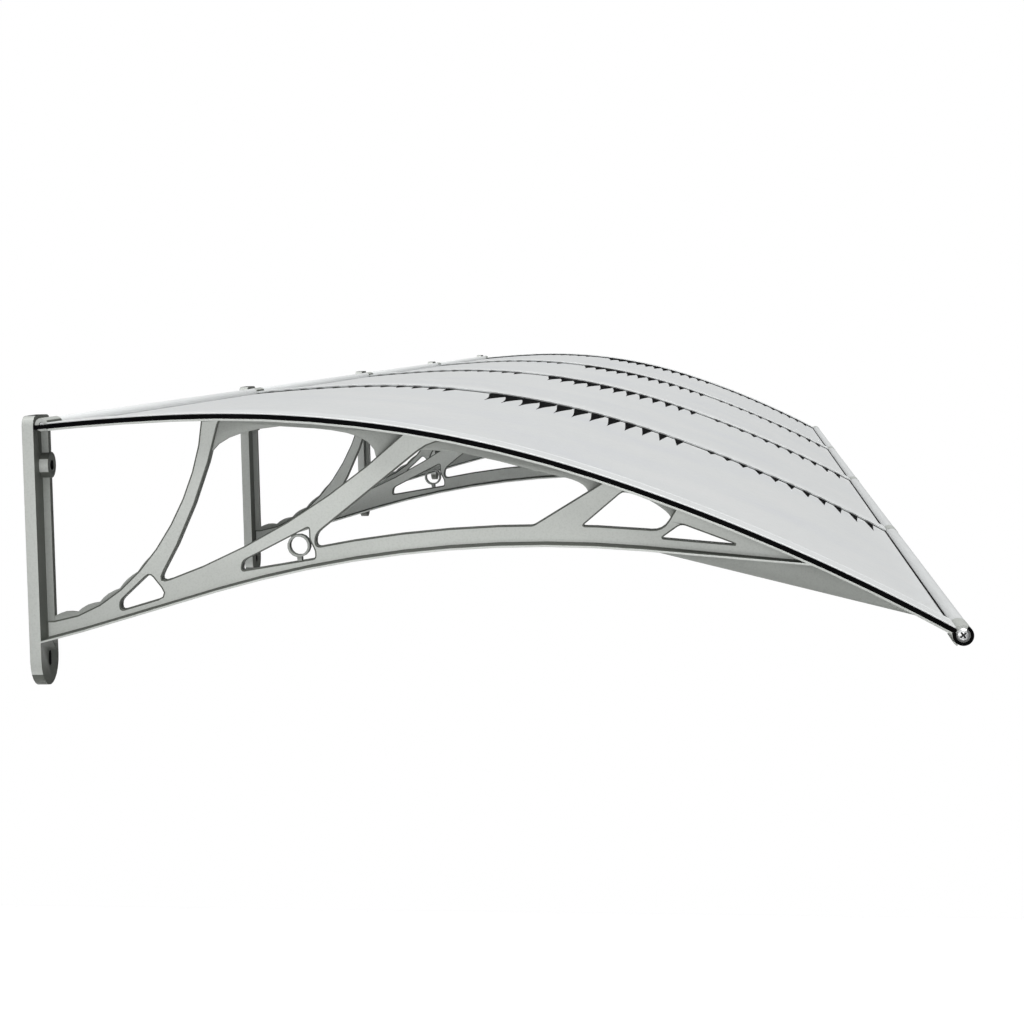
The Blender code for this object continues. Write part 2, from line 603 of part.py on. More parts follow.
def make_bracket():
    """The casting: wall plate, two flanges, web with struts, ring, fin, skirt and bosses in one."""
    body = wall_plate()
    web = prism("web", web_outline(), -WEB_THICKNESS / 2.0, WEB_THICKNESS / 2.0)
    windows = [prism(name, outline, -WEB_THICKNESS, WEB_THICKNESS)
               for name, outline in (("foot_window", window(FOOT_WINDOW, FOOT_WINDOW_ROUNDS)),
                                     ("ring_window", window(RING_WINDOW, RING_WINDOW_ROUNDS)),
                                     ("nose_window", window(NOSE_WINDOW, NOSE_WINDOW_ROUNDS)))]
    combine(web, windows, "DIFFERENCE")

    ring_centre = above_chord(RING_X, RING_RISE)
    ring = prism("ring", circle(RING_OUTER, 16, ring_centre), -RING_THICKNESS / 2.0, RING_THICKNESS / 2.0)
    bore = prism("ring_bore", circle(RING_INNER, 16, ring_centre), -RING_THICKNESS, RING_THICKNESS)
    stubs = []
    for name, angle, reach in (("stub_top", 118.0, 0.0062), ("stub_foot", 272.0, 0.0040)):
        along = np.array([math.cos(math.radians(angle)), math.sin(math.radians(angle))])
        across = np.array([-along[1], along[0]]) * RING_STUB / 2.0
        inner = ring_centre + along * (RING_OUTER + RING_INNER) / 2.0
        outer = ring_centre + along * (RING_OUTER + reach)
        stubs.append(prism(name, [inner - across, outer - across, outer + across, inner + across],
                           -RING_THICKNESS / 2.5, RING_THICKNESS / 2.5))

    flange_section = [(-half_beam, flange_bottom), (half_beam, flange_bottom),
                      (half_beam, flange_top), (-half_beam, flange_top)]
    wide_start = rear_run + REAR_BAR_RADIUS + 0.001
    wide_end = nose_run - NOSE_BOSS_RADIUS - 0.0005
    flange = swept("rim_flange", rim, rim.between(wide_start, wide_end), flange_section)
    inner_half = boss_half - 0.0002
    roots = []
    for name, start, end in (("rear_root", rear_run, wide_start + 0.004),
                             ("nose_root", wide_end - 0.004, nose_run)):
        upper = rim.at(np.array([start, end]), flange_top - 0.0003)
        lower = rim.at(np.array([end, start]), flange_bottom + 0.0003)
        roots.append(prism(name, np.vstack([upper, lower]), -inner_half, inner_half))
    chord_section = [(-half_beam, 0.0), (half_beam, 0.0),
                     (half_beam, CHORD_FLANGE), (-half_beam, CHORD_FLANGE)]
    chord_runs = chord.between(0.0, chord.run_at(meet_x, CHORD_FLANGE / 2.0))
    chord_flange = swept("chord_flange", chord, chord_runs, chord_section)
    for vert in chord_flange.data.vertices:
        if abs(vert.co.x - PLATE_THICKNESS) < 0.001:
            vert.co.x = plate_inside

    rib_top = rim.height(rib_face, flange_mid)
    rib = prism("rib", [(plate_inside, foot_point[1] - 0.004), (rib_face, foot_point[1] - 0.004),
                        (rib_face, rib_top), (plate_inside, rib_top)],
                -RIB_THICKNESS / 2.0, RIB_THICKNESS / 2.0)
    boss_z = plate_top - WALL_BOSS_DROP
    wall_boss = prism("wall_boss", circle(WALL_BOSS_DIAMETER / 2.0, 18, (0.0, boss_z)),
                      plate_inside, PLATE_THICKNESS + WALL_BOSS_LENGTH, axis="X")
    wall_hole = prism("wall_hole", circle(WALL_HOLE_DIAMETER / 2.0, 12, (0.0, boss_z)),
                      -0.01, PLATE_THICKNESS + WALL_BOSS_LENGTH + 0.01, axis="X")

    bosses, ports = [], []
    for name, centre, turn, radius in (("rear_boss", rear_centre, rear_turn, REAR_BOSS_RADIUS),
                                       ("nose_boss", nose_centre, nose_turn, NOSE_BOSS_RADIUS)):
        bosses.append(prism(name, circle(radius, 16, centre, turn), -boss_half, boss_half))
        ports.append(prism(name + "_port", circle(PORT_RADIUS, 8, centre, turn), -BEAM_WIDTH, BEAM_WIDTH))
    drips = []
    for name, low, high, half in (("drip", SEAT_GAP, DRIP_THICKNESS, half_beam - 0.0002),
                                  ("drip_root", -0.002, DRIP_THICKNESS - 0.0004, inner_half)):
        start, end = DRIP_START + nose_turn, DRIP_END + nose_turn
        outer = ring_sector(nose_centre, NOSE_BOSS_RADIUS + high, start, end, 4)
        inner = ring_sector(nose_centre, NOSE_BOSS_RADIUS + low, end, start, 4)
        drips.append(prism(name, np.vstack([outer, inner]), -half, half))

    lips = [
        lip("lip_2", strut_1_front, LIP_2, strut_2_back),
        lip("lip_3", strut_2_front, LIP_3, strut_3_back),
        lip("lip_4", strut_3_front, LIP_4, strut_4_back),
    ]
    pieces = [flange, chord_flange, web, rib, wall_boss, *bosses, *roots, *drips,
              *lips, skirt(), ring, *stubs, fin()]
    combine(body, pieces, "UNION")
    combine(body, [wall_hole, bore, *ports], "DIFFERENCE")
    tidy_faces(body)
    body.data.materials.clear()
    body.data.materials.append(CAST)
    smooth_round_faces(body)
    return body


# Sheets, seals, strips and bars

def make_sheet(name, y_low, y_high, notch_low, notch_high):
    """A curved sheet with its four corners cut out round the bosses.

    Its ends run into the slots of the bars. The outline is walked run by run, so that each
    facet of the curve is one face.
    """
    rear_tongue = REAR_BAR_RADIUS - REAR_SLOT_DEPTH + SEAT_GAP
    nose_tongue = NOSE_BAR_RADIUS - NOSE_SLOT_DEPTH + SEAT_GAP
    rear_shoulder = REAR_BOSS_RADIUS + 2.0 * SEAT_GAP
    nose_shoulder = NOSE_BOSS_RADIUS + 2.0 * SEAT_GAP
    runs = [rear_run + rear_tongue] + list(rim.between(rear_run + rear_shoulder, nose_run - nose_shoulder))
    runs += [nose_run - nose_tongue]
    last = len(runs) - 1
    verts, top_rows, low_rows = [], [], []
    for i, run in enumerate(runs):
        if i in (0, last):
            ys = [notch_low, notch_high]
        elif i in (1, last - 1):
            ys = [y_low, notch_low, notch_high, y_high]
        else:
            ys = [y_low, y_high]
        for rows, lift in ((top_rows, sheet_top), (low_rows, sheet_bottom)):
            x, z = rim.at(run, lift)
            rows.append(list(range(len(verts), len(verts) + len(ys))))
            verts += [(x, y, z) for y in ys]
    faces = []
    for i in range(last):
        for rows in (top_rows, low_rows):
            here, there = rows[i], rows[i + 1]
            if i == 0:
                there = there[1:3]
            elif i == last - 1:
                here = here[1:3]
            faces.append(tuple(here) + tuple(reversed(there)))
        for side in (0, -1):
            low_here, low_there = low_rows[i][side], low_rows[i + 1][side]
            top_here, top_there = top_rows[i][side], top_rows[i + 1][side]
            if i == 0:
                pick = 1 if side == 0 else 2
                low_there, top_there = low_rows[1][pick], top_rows[1][pick]
            elif i == last - 1:
                pick = 1 if side == 0 else 2
                low_here, top_here = low_rows[i][pick], top_rows[i][pick]
            faces.append((low_here, low_there, top_there, top_here))
    for i in (0, last):
        faces.append((low_rows[i][0], low_rows[i][1], top_rows[i][1], top_rows[i][0]))
    for i in (1, last - 1):
        for a in (0, 2):
            faces.append((low_rows[i][a], low_rows[i][a + 1], top_rows[i][a + 1], top_rows[i][a]))
    sheet = add_object(name, verts, faces, POLYCARBONATE)
    smooth_round_faces(sheet)
    return sheet


def make_strip():
    """Flat cover strip over the joint, with its long edges chamfered."""
    inner = half_beam - STRIP_EDGE_CHAMFER
    section = [(-half_beam, 0.0), (half_beam, 0.0), (half_beam, STRIP_THICKNESS - STRIP_EDGE_CHAMFER),
               (inner, STRIP_THICKNESS), (-inner, STRIP_THICKNESS),
               (-half_beam, STRIP_THICKNESS - STRIP_EDGE_CHAMFER)]
    strip = swept("strip", rim, rim.between(strip_start, strip_end), section, EXTRUDED)
    smooth_round_faces(strip)
    return strip


def tooth_share(share):
    """Length of a tooth as a share of the longest, by its place from wall to nose.

    The teeth form three groups, parted by two short gaps: small ones that grow, the long ones
    over the upper front slope, and small ones that grow towards the nose.
    """
    if share < 0.335:
        return 0.12 + 0.30 * (share / 0.335) ** 2
    if share < 0.355:
        return 0.0
    if share < 0.680:
        return 0.70 + 0.30 * math.sin(math.pi * (share - 0.355) / 0.325)
    if share < 0.700:
        return 0.0
    return 0.25 + 0.30 * (share - 0.700) / 0.300


def make_joint_seal():
    """T-shaped seal between two sheets, with a row of teeth along the side that faces -Y."""
    stem = SEAL_STEM_WIDTH / 2.0
    stem_foot = sheet_bottom
    section = [(-half_beam, pad_bottom), (-stem, pad_bottom), (-stem, stem_foot), (stem, stem_foot),
               (stem, pad_bottom), (half_beam, pad_bottom), (half_beam, pad_top), (-half_beam, pad_top)]
    runs = rim.between(strip_start, strip_end)
    seal = swept("joint_seal", rim, runs, section, RUBBER)
    pitch = rim.length / (RIM_SEGMENTS * TEETH_PER_SEGMENT)
    lip_low = pad_bottom + 0.0002
    lip_high = lip_low + LIP_THICKNESS
    verts, faces = [], []
    for k in range(RIM_SEGMENTS * TEETH_PER_SEGMENT):
        middle = (k + 0.5) * pitch
        length = TOOTH_LENGTH * tooth_share(middle / rim.length)
        inside = strip_start + TOOTH_WIDTH / 2.0 < middle < strip_end - TOOTH_WIDTH / 2.0
        if length <= 0.0 or not inside:
            continue
        base = len(verts)
        for level in (lip_low, lip_high):
            for side, reach in ((-0.5, -TOOTH_ROOT), (0.5, -TOOTH_ROOT), (0.0, length)):
                x, z = rim.at(middle + side * TOOTH_WIDTH, level)
                verts.append((x, -half_beam - reach, z))
        faces += [(base, base + 1, base + 2), (base + 5, base + 4, base + 3)]
        faces += [(base + a, base + b, base + 3 + b, base + 3 + a) for a, b in ((0, 1), (1, 2), (2, 0))]
    teeth = add_object("teeth", verts, faces, RUBBER)
    combine(seal, [teeth], "UNION")
    tidy_faces(seal)
    smooth_round_faces(seal)
    return seal


def make_end_seal():
    """Seal of the outermost slot at -Y: a pad under the strip, an outer wall and a hook round the nose."""
    wall_high = -half_beam + END_WALL_THICKNESS
    pad_section = [(wall_high - 0.001, pad_bottom), (half_beam, pad_bottom), (half_beam, pad_top),
                   (wall_high - 0.001, pad_top)]
    pad = swept("end_seal", rim, rim.between(strip_start, strip_end), pad_section, RUBBER)
    low, high = sheet_bottom, pad_top
    runs = rim.between(SEAT_GAP, nose_run - NOSE_BOSS_RADIUS)
    half_wall = (high - low) / 2.0
    outer_start = 180.0 + math.degrees(math.asin(half_wall / NOSE_BOSS_RADIUS))
    inner_start = 180.0 - math.degrees(math.asin(half_wall / HOOK_INNER))
    hook_outer = ring_sector(nose_centre, NOSE_BOSS_RADIUS, outer_start + nose_turn, HOOK_END + nose_turn, 14)
    hook_inner = ring_sector(nose_centre, HOOK_INNER, HOOK_END + nose_turn, inner_start + nose_turn, 12)
    outline = np.vstack([rim.at(runs, low)[:-1], hook_outer, hook_inner, rim.at(runs[::-1], high)[1:]])
    wall = prism("wall", outline, -half_beam, wall_high)
    combine(pad, [wall], "UNION")
    tidy_faces(pad)
    pad.data.materials.clear()
    pad.data.materials.append(RUBBER)
    smooth_round_faces(pad)
    return pad


def make_bar(name, centre, turn, radius, slot_depth, level, slot_side):
    """Round bar with a screw port through it and a slot that takes the edge of the sheet."""
    start, end = boss_half + SEAT_GAP, BAY_WIDTH - boss_half - SEAT_GAP
    slot_low = sheet_bottom - SEAT_GAP - level
    slot_high = sheet_top + SEAT_GAP - level
    slot_end = radius - slot_depth
    low_angle = math.degrees(math.asin(slot_low / radius))
    high_angle = math.degrees(math.asin(slot_high / radius))
    angles = np.radians(np.linspace(high_angle, 360.0 + low_angle, 16))
    local = [(radius * math.cos(a), radius * math.sin(a)) for a in angles]
    local += [(slot_end, slot_low), (slot_end, slot_high)]
    tilt = math.radians(turn)
    outline = []
    for along, up in local:
        along *= slot_side
        outline.append((centre[0] + along * math.cos(tilt) - up * math.sin(tilt),
                        centre[1] + along * math.sin(tilt) + up * math.cos(tilt)))
    bar = prism(name, outline, start, end)
    port = prism("port", circle(PORT_RADIUS, 8, centre, turn), start - 0.01, end + 0.01)
    combine(bar, [port], "DIFFERENCE")
    tidy_faces(bar)
    bar.data.materials.clear()
    bar.data.materials.append(EXTRUDED)
    smooth_round_faces(bar)
    return bar


def make_pin(name, centre, turn, low, high):
    pin = prism(name, circle(PORT_RADIUS - PIN_CLEARANCE, 8, centre, turn), low, high, STEEL)
    smooth_round_faces(pin, 50.0)
    return pin


def make_screw():
    """Cross-head screw of the nose at the -Y end: domed head outside, shank through boss and bar."""
    face = -boss_half - SEAT_GAP
    shank_end = boss_half + SEAT_GAP + PIN_GRIP
    dome = [(0.0, 1.0), (0.35, 0.95), (0.7, 0.72), (1.0, 0.3)]
    rings = [(SCREW_HEAD_RADIUS, face)]
    rings += [(SCREW_HEAD_RADIUS * out, face - SCREW_HEAD_HEIGHT * up) for up, out in dome]
    sides = 16
    verts, faces = [], []
    for radius, y in rings:
        verts += [(x, y, z) for x, z in circle(radius, sides, nose_centre)]
    for i in range(len(rings) - 1):
        for k in range(sides):
            after = (k + 1) % sides
            faces.append((i * sides + k, i * sides + after, (i + 1) * sides + after, (i + 1) * sides + k))
    faces += [tuple(range(sides)), tuple(range(len(verts) - 1, len(verts) - sides - 1, -1))]
    head = add_object("screw", verts, faces, STEEL)
    round_shank = circle(PORT_RADIUS - PIN_CLEARANCE, 8, nose_centre, nose_turn)
    shank = prism("shank", round_shank, face - 0.001, shank_end)
    combine(head, [shank], "UNION")
    top = face - SCREW_HEAD_HEIGHT
    blades = []
    for name, angle in (("blade_a", 45.0), ("blade_b", 135.0)):
        along = np.array([math.cos(math.radians(angle)), math.sin(math.radians(angle))]) * CROSS_LENGTH / 2.0
        across = np.array([-along[1], along[0]]) / np.linalg.norm(along) * CROSS_WIDTH / 2.0
        blades.append(prism(name, [nose_centre - along - across, nose_centre + along - across,
                                   nose_centre + along + across, nose_centre - along + across],
                            top - 0.002, top + CROSS_DEPTH))
    combine(head, blades, "DIFFERENCE")
    tidy_faces(head)
    head.data.materials.clear()
    head.data.materials.append(STEEL)
    smooth_round_faces(head, 40.0)
    return head


# Assembly along the wall
bracket_ys = [(i - (BRACKET_COUNT - 1) / 2.0) * BAY_WIDTH for i in range(BRACKET_COUNT)]

bracket = make_bracket()
strip = make_strip()
joint_seal = make_joint_seal()
end_seal = make_end_seal()
screw = make_screw()
for i, y in enumerate(bracket_ys):
    number = i + 1
    moved_copy(bracket, f"bracket_{number}", y)
    moved_copy(strip, f"cover_strip_{number}", y)
    if 0 < i < BRACKET_COUNT - 1:
        moved_copy(joint_seal, f"joint_seal_{number}", y)
moved_copy(end_seal, "end_seal_near", bracket_ys[0])
moved_copy(end_seal, "end_seal_far", bracket_ys[-1], mirrored=True)
moved_copy(screw, "nose_screw_near", bracket_ys[0])
moved_copy(screw, "nose_screw_far", bracket_ys[-1], mirrored=True)
for template in (bracket, strip, joint_seal, end_seal, screw):
    bpy.data.objects.remove(template)

front_bar = make_bar("front_bar", nose_centre, nose_turn,
                     NOSE_BAR_RADIUS, NOSE_SLOT_DEPTH, nose_level, -1.0)
rear_bar = make_bar("rear_bar", rear_centre, rear_turn,
                    REAR_BAR_RADIUS, REAR_SLOT_DEPTH, REAR_BOSS_LEVEL, 1.0)
sheet_edge = SEAL_STEM_WIDTH / 2.0 + SEAT_GAP
sheet_outer_edge = -half_beam + END_WALL_THICKNESS + SEAT_GAP
notch = boss_half + 2.0 * SEAT_GAP
for i in range(BRACKET_COUNT - 1):
    number = i + 1
    here, there = bracket_ys[i], bracket_ys[i + 1]
    first, last = i == 0, i == BRACKET_COUNT - 2
    moved_copy(front_bar, f"front_bar_{number}", here)
    moved_copy(rear_bar, f"rear_bar_{number}", here)
    y_low = here + (sheet_outer_edge if first else sheet_edge)
    y_high = there - (sheet_outer_edge if last else sheet_edge)
    make_sheet(f"sheet_{number}", y_low, y_high, here + notch, there - notch)
for template in (front_bar, rear_bar):
    bpy.data.objects.remove(template)

reach = boss_half + SEAT_GAP + PIN_GRIP
for i, y in enumerate(bracket_ys):
    number = i + 1
    low = y - (reach if i > 0 else boss_half - 0.001)
    high = y + (reach if i < BRACKET_COUNT - 1 else boss_half - 0.001)
    make_pin(f"rear_pin_{number}", rear_centre, rear_turn, low, high)
    if 0 < i < BRACKET_COUNT - 1:
        make_pin(f"front_pin_{number}", nose_centre, nose_turn, low, high)
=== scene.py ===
# %% [markdown]
# # A door canopy of curved polycarbonate
# Five cast brackets stand on a wall and carry four curved sheets. The brackets' shapes come from
# the solid model. This lesson gives them a cast finish with painted light and shade, makes the sheets,
# rubber, strips, bars and screws anew as smooth surfaces, and lights it all as in a bright studio.

# %% Load the solid model
import math

import bmesh
import bpy
import numpy as np
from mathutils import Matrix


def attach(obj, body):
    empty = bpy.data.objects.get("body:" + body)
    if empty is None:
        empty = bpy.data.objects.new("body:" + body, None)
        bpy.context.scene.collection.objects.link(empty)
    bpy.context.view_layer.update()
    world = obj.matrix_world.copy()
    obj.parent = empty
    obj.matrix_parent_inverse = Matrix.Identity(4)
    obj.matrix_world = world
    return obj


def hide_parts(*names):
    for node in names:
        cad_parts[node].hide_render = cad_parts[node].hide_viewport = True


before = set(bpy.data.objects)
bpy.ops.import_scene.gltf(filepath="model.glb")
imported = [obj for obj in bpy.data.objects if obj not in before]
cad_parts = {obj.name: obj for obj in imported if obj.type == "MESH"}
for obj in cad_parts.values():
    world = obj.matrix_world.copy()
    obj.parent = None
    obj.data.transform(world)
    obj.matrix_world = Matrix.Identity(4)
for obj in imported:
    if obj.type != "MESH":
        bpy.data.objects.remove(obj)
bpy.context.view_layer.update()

# %% [markdown]
# The camera comes first, because every choice after it is judged through it. Its place and lens
# were fitted to straight edges of the canopy whose sizes are known, so it is given as numbers: a
# place in metres, three turns, a focal length in pixels and the point the lens looks at.

# %% Camera
FRAME_PIXELS = 1024
SENSOR = 36.0
focal_pixels, centre_u, centre_v = 2120.249, 414.537, 417.591
yaw, pitch, roll = 0.152020, 0.0413378, -0.0289474
right = np.array([math.cos(yaw), math.sin(yaw), 0.0])
ahead = np.array([-math.sin(yaw), math.cos(yaw), 0.0])
up = np.array([0.0, 0.0, 1.0])
look = ahead * math.cos(pitch) - up * math.sin(pitch)
lift = up * math.cos(pitch) + ahead * math.sin(pitch)
side = right * math.cos(roll) + lift * math.sin(roll)
crown = lift * math.cos(roll) - right * math.sin(roll)
camera_place = np.array([0.75535, -4.19571, 0.22592])

camera_data = bpy.data.cameras.new("camera")
camera_data.sensor_width = SENSOR
camera_data.lens = focal_pixels / FRAME_PIXELS * SENSOR
camera_data.shift_x = 0.5 - centre_u / FRAME_PIXELS
camera_data.shift_y = centre_v / FRAME_PIXELS - 0.5
camera_data.clip_end = 200.0
camera = bpy.data.objects.new("camera", camera_data)
turn = np.eye(4)
turn[:3, 0], turn[:3, 1], turn[:3, 2], turn[:3, 3] = side, crown, -look, camera_place
camera.matrix_world = turn.T
bpy.context.scene.collection.objects.link(camera)
bpy.context.scene.camera = camera
print("lens", round(camera_data.lens, 2), "mm, shifted", round(camera_data.shift_x, 4),
      round(camera_data.shift_y, 4))

# %% [markdown]
# Every long piece of the roof follows one curve, the rim: three arcs that run into each other
# with no kink, rising a little at the wall and then bending down to the nose. A point on it is
# given by its run, the distance from the wall plate along the curve, and a lift, the distance
# above the curve at right angles to it.

# %% The rim
RUNS = np.array([0.150, 0.460, 0.396])
RADII = np.array([2.60, 1.27, 2.20])
START = np.array([0.0125, 0.136])
HEADING = math.radians(4.6)
LENGTH = RUNS.sum()


def rim(run, lift=0.0):
    """Points (x, z) at a run along three tangent arcs, moved by lift along the normal.

    On an arc of radius R the heading falls by run / R. The chord from the arc's start has
    the mean of both headings and the length 2 R sin(bend / 2). Whole arrays go through at once.
    """
    run, lift = np.broadcast_arrays(np.asarray(run, dtype=float), np.asarray(lift, dtype=float))
    x, z = np.full(run.shape, START[0]), np.full(run.shape, START[1])
    heading = np.full(run.shape, HEADING)
    before = 0.0
    for length, radius in zip(RUNS, RADII):
        last = before + length >= LENGTH - 1e-9
        part = np.clip(run - before, -np.inf if before == 0.0 else 0.0, np.inf if last else length)
        bend = part / radius
        chord = 2.0 * radius * np.sin(bend / 2.0)
        x = x + chord * np.cos(heading - bend / 2.0)
        z = z + chord * np.sin(heading - bend / 2.0)
        heading = heading - bend
        before += length
    return x - np.sin(heading) * lift, z + np.cos(heading) * lift, heading


nose_x, nose_z, nose_heading = (float(v) for v in rim(LENGTH, -0.0025))
REAR_RUN = 0.008
rear_x, rear_z, rear_heading = (float(v) for v in rim(REAR_RUN, 0.0))
print("rim", round(LENGTH, 3), "m long, nose at", round(nose_x, 4), round(nose_z, 4))

# %% [markdown]
# Pieces are grids: one function places rows and columns of points, and this helper joins
# neighbours with quads. A grid can close round its rows, as a tube does, and its two open ends
# are then closed with one face each. Smooth shading hides the facets, and edges sharper than a
# set angle stay crisp.


def grid_faces(rows, columns, closed, offset=0):
    """Quads between neighbours of a grid; a closed one joins its last column to its first."""
    r = np.arange(rows - 1)[:, None] * columns
    c = np.arange(columns if closed else columns - 1)[None, :]
    after = (c + 1) % columns
    quads = np.stack([r + c, r + columns + c, r + columns + after, r + after], -1)
    return quads.reshape(-1, 4) + offset


def add_piece(name, grids, material, angle=35.0, replaced=()):
    """One object from several grids, each (points[rows, columns, 3], closed round, capped ends)."""
    verts, faces, offset = [], [], 0
    for points, closed, capped in grids:
        rows, columns = points.shape[:2]
        verts.append(points.reshape(-1, 3))
        faces += grid_faces(rows, columns, closed, offset).tolist()
        end = offset + rows * columns
        if capped:
            faces.append(list(range(offset, offset + columns)))
            faces.append(list(range(end - 1, end - columns - 1, -1)))
        offset = end
    mesh = bpy.data.meshes.new(name)
    mesh.from_pydata(np.concatenate(verts).tolist(), [], faces)
    work = bmesh.new()
    work.from_mesh(mesh)
    bmesh.ops.remove_doubles(work, verts=work.verts, dist=1e-7)
    bmesh.ops.recalc_face_normals(work, faces=work.faces)
    work.to_mesh(mesh)
    work.free()
    mesh.shade_smooth()
    mesh.set_sharp_from_angle(angle=math.radians(angle))
    mesh.materials.append(material)
    obj = bpy.data.objects.new(name, mesh)
    bpy.context.scene.collection.objects.link(obj)
    dress(obj, replaced)
    return obj


def dress(obj, replaced):
    """Ties a new piece to the solid model: what it rides on and what it replaces."""
    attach(obj, "root")
    if replaced:
        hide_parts(*replaced)


def carried(section, runs):
    """A closed section of (y, lift) pairs carried along the rim: point = (rim x, y, rim z)."""
    section = np.asarray(section)
    x, z, _ = rim(runs[:, None], section[None, :, 1])
    y = np.broadcast_to(section[None, :, 0], x.shape)
    return np.stack([x, y, z], -1)


def rounded(width_low, width_high, low, high, radius, steps=4):
    """Outline of a rectangle with rounded corners: four quarter circles joined by straight sides."""
    quarter = np.linspace(0.0, np.pi / 2.0, steps + 1)
    right, left = width_high - radius, width_low + radius
    corners = [(right, high - radius, 0.0), (left, high - radius, np.pi / 2.0),
               (left, low + radius, np.pi), (right, low + radius, 1.5 * np.pi)]
    arcs = [np.stack([y + radius * np.cos(quarter + start), z + radius * np.sin(quarter + start)], -1)
            for y, z, start in corners]
    return np.concatenate(arcs)


# %% [markdown]
# A material is a small network of nodes. One function adds a node, sets it and links it. Colours
# are chosen as sRGB, as on a screen, and turned linear, because light adds up in linear values.
# A noise texture's scale counts blobs per metre, so it is worked out from a size in millimetres.

# %% Nodes and colours
def linear(code):
    """sRGB hex to linear: below 0.04045 divide by 12.92, else ((c + 0.055) / 1.055) to the power 2.4."""
    srgb = np.array([int(code[i:i + 2], 16) for i in (1, 3, 5)]) / 255.0
    return (*np.where(srgb <= 0.04045, srgb / 12.92, ((srgb + 0.055) / 1.055) ** 2.4), 1.0)


def add_node(tree, kind, inputs=None, stops=(), **settings):
    """A node of that kind. In inputs a value is set and an output socket is linked.

    The stops are a colour ramp's (position, hex colour) pairs, of which it has two at first.
    """
    node = tree.nodes.new(kind)
    for name, value in settings.items():
        setattr(node, name, value)
    for name, value in (inputs or {}).items():
        if isinstance(value, bpy.types.NodeSocket):
            tree.links.new(value, node.inputs[name])
        else:
            node.inputs[name].default_value = value
    if stops:
        ramp = node.color_ramp.elements
        for _ in stops[2:]:
            ramp.new(0.5)
        for element, (position, code) in zip(ramp, stops):
            element.position = position
            element.color = linear(code)
    return node


def per_metre(millimetres):
    """Blobs or lines per metre when each is that many millimetres wide."""
    return 1000.0 / millimetres


def new_finish(name):
    """An empty material with its Principled shader and object coordinates in metres."""
    material = bpy.data.materials.new(name)
    material.use_nodes = True
    tree = material.node_tree
    shader = tree.nodes["Principled BSDF"]
    coordinates = add_node(tree, "ShaderNodeTexCoord").outputs["Object"]
    return material, tree, shader, coordinates


# %% [markdown]
# The brackets are cast aluminium, with the grey skin of the mould pebbled at about 2 mm. Their tone is
# painted light and shade, set by a face attribute made with the meshes further down: 1 paints the
# raised sides that face along the wall pale as if lit, 0.15 paints all other faces dark as if shaded,
# about a half is painted shade on the recessed thin lips between, and 0 is painted deep shade in the
# bolt holes. No casting has knife edges, so the Bevel node rounds the light over each edge by a
# millimetre.

# %% Cast aluminium
def cast_aluminium():
    """Cast aluminium in painted light and shade: satin greys with a hint of green, which drift a little over
    140 mm.
    """
    material, tree, shader, place = new_finish("cast_aluminium_painted_light")
    # Painted light and shade: this face attribute sets each face's grey by how it faces.
    painted_level = add_node(tree, "ShaderNodeAttribute", attribute_name="painted_light_level").outputs["Fac"]
    drift = add_node(tree, "ShaderNodeTexNoise", {"Vector": place, "Scale": per_metre(140.0),
                                                  "Detail": 4.0}).outputs["Fac"]
    uneven = add_node(tree, "ShaderNodeMath", {0: drift, 1: 0.10, 2: -0.05},
                      operation="MULTIPLY_ADD").outputs[0]
    level = add_node(tree, "ShaderNodeMath", {0: painted_level, 1: uneven}, operation="ADD").outputs[0]
    # The ramp turns it into grey: near black for painted deep shade, dark grey for painted shade, pale for
    # painted lit sides.
    tone = add_node(tree, "ShaderNodeValToRGB", {"Fac": level}, [
        (0.05, "#0E0F0E"), (0.09, "#52554F"), (0.20, "#5F625D"), (0.55, "#9A9D99"), (0.92, "#B8BBB7"),
        (1.0, "#BEC1BD")])
    grain = add_node(tree, "ShaderNodeTexNoise", {"Vector": place, "Scale": per_metre(2.2),
                                                  "Detail": 2.0, "Roughness": 0.7}).outputs["Fac"]
    speck = add_node(tree, "ShaderNodeValToRGB", {"Fac": grain}, [(0.30, "#9CA09B"), (0.55, "#FFFFFF")])
    colour = add_node(tree, "ShaderNodeMix", {0: 0.14, 6: tone.outputs["Color"], 7: speck.outputs["Color"]},
                      data_type="RGBA", blend_type="MULTIPLY").outputs[2]
    tree.links.new(colour, shader.inputs["Base Color"])
    patches = add_node(tree, "ShaderNodeTexNoise", {"Vector": place, "Scale": per_metre(45.0),
                                                    "Detail": 5.0}).outputs["Fac"]
    satin = add_node(tree, "ShaderNodeMapRange", {0: patches, 3: 0.42, 4: 0.56}).outputs[0]
    tree.links.new(satin, shader.inputs["Roughness"])
    shader.inputs["Metallic"].default_value = 0.25
    shader.inputs["Specular IOR Level"].default_value = 0.30
    soft_edge = add_node(tree, "ShaderNodeBevel", {"Radius": 0.0010}, samples=4).outputs["Normal"]
    pebble = add_node(tree, "ShaderNodeBump", {"Strength": 0.20, "Distance": 0.0004, "Height": grain,
                                               "Normal": soft_edge}).outputs["Normal"]
    tree.links.new(pebble, shader.inputs["Normal"])
    return material


cast = cast_aluminium()
print("made", cast.name)

# %% [markdown]
# The strips and bars are extruded: metal pushed through a die, then matt anodised. The die draws
# faint lines along the length, so the noise is stretched: fine across the piece, long along it.
# A bar runs along Y and a strip along the rim, so each has its own direction of stretch.

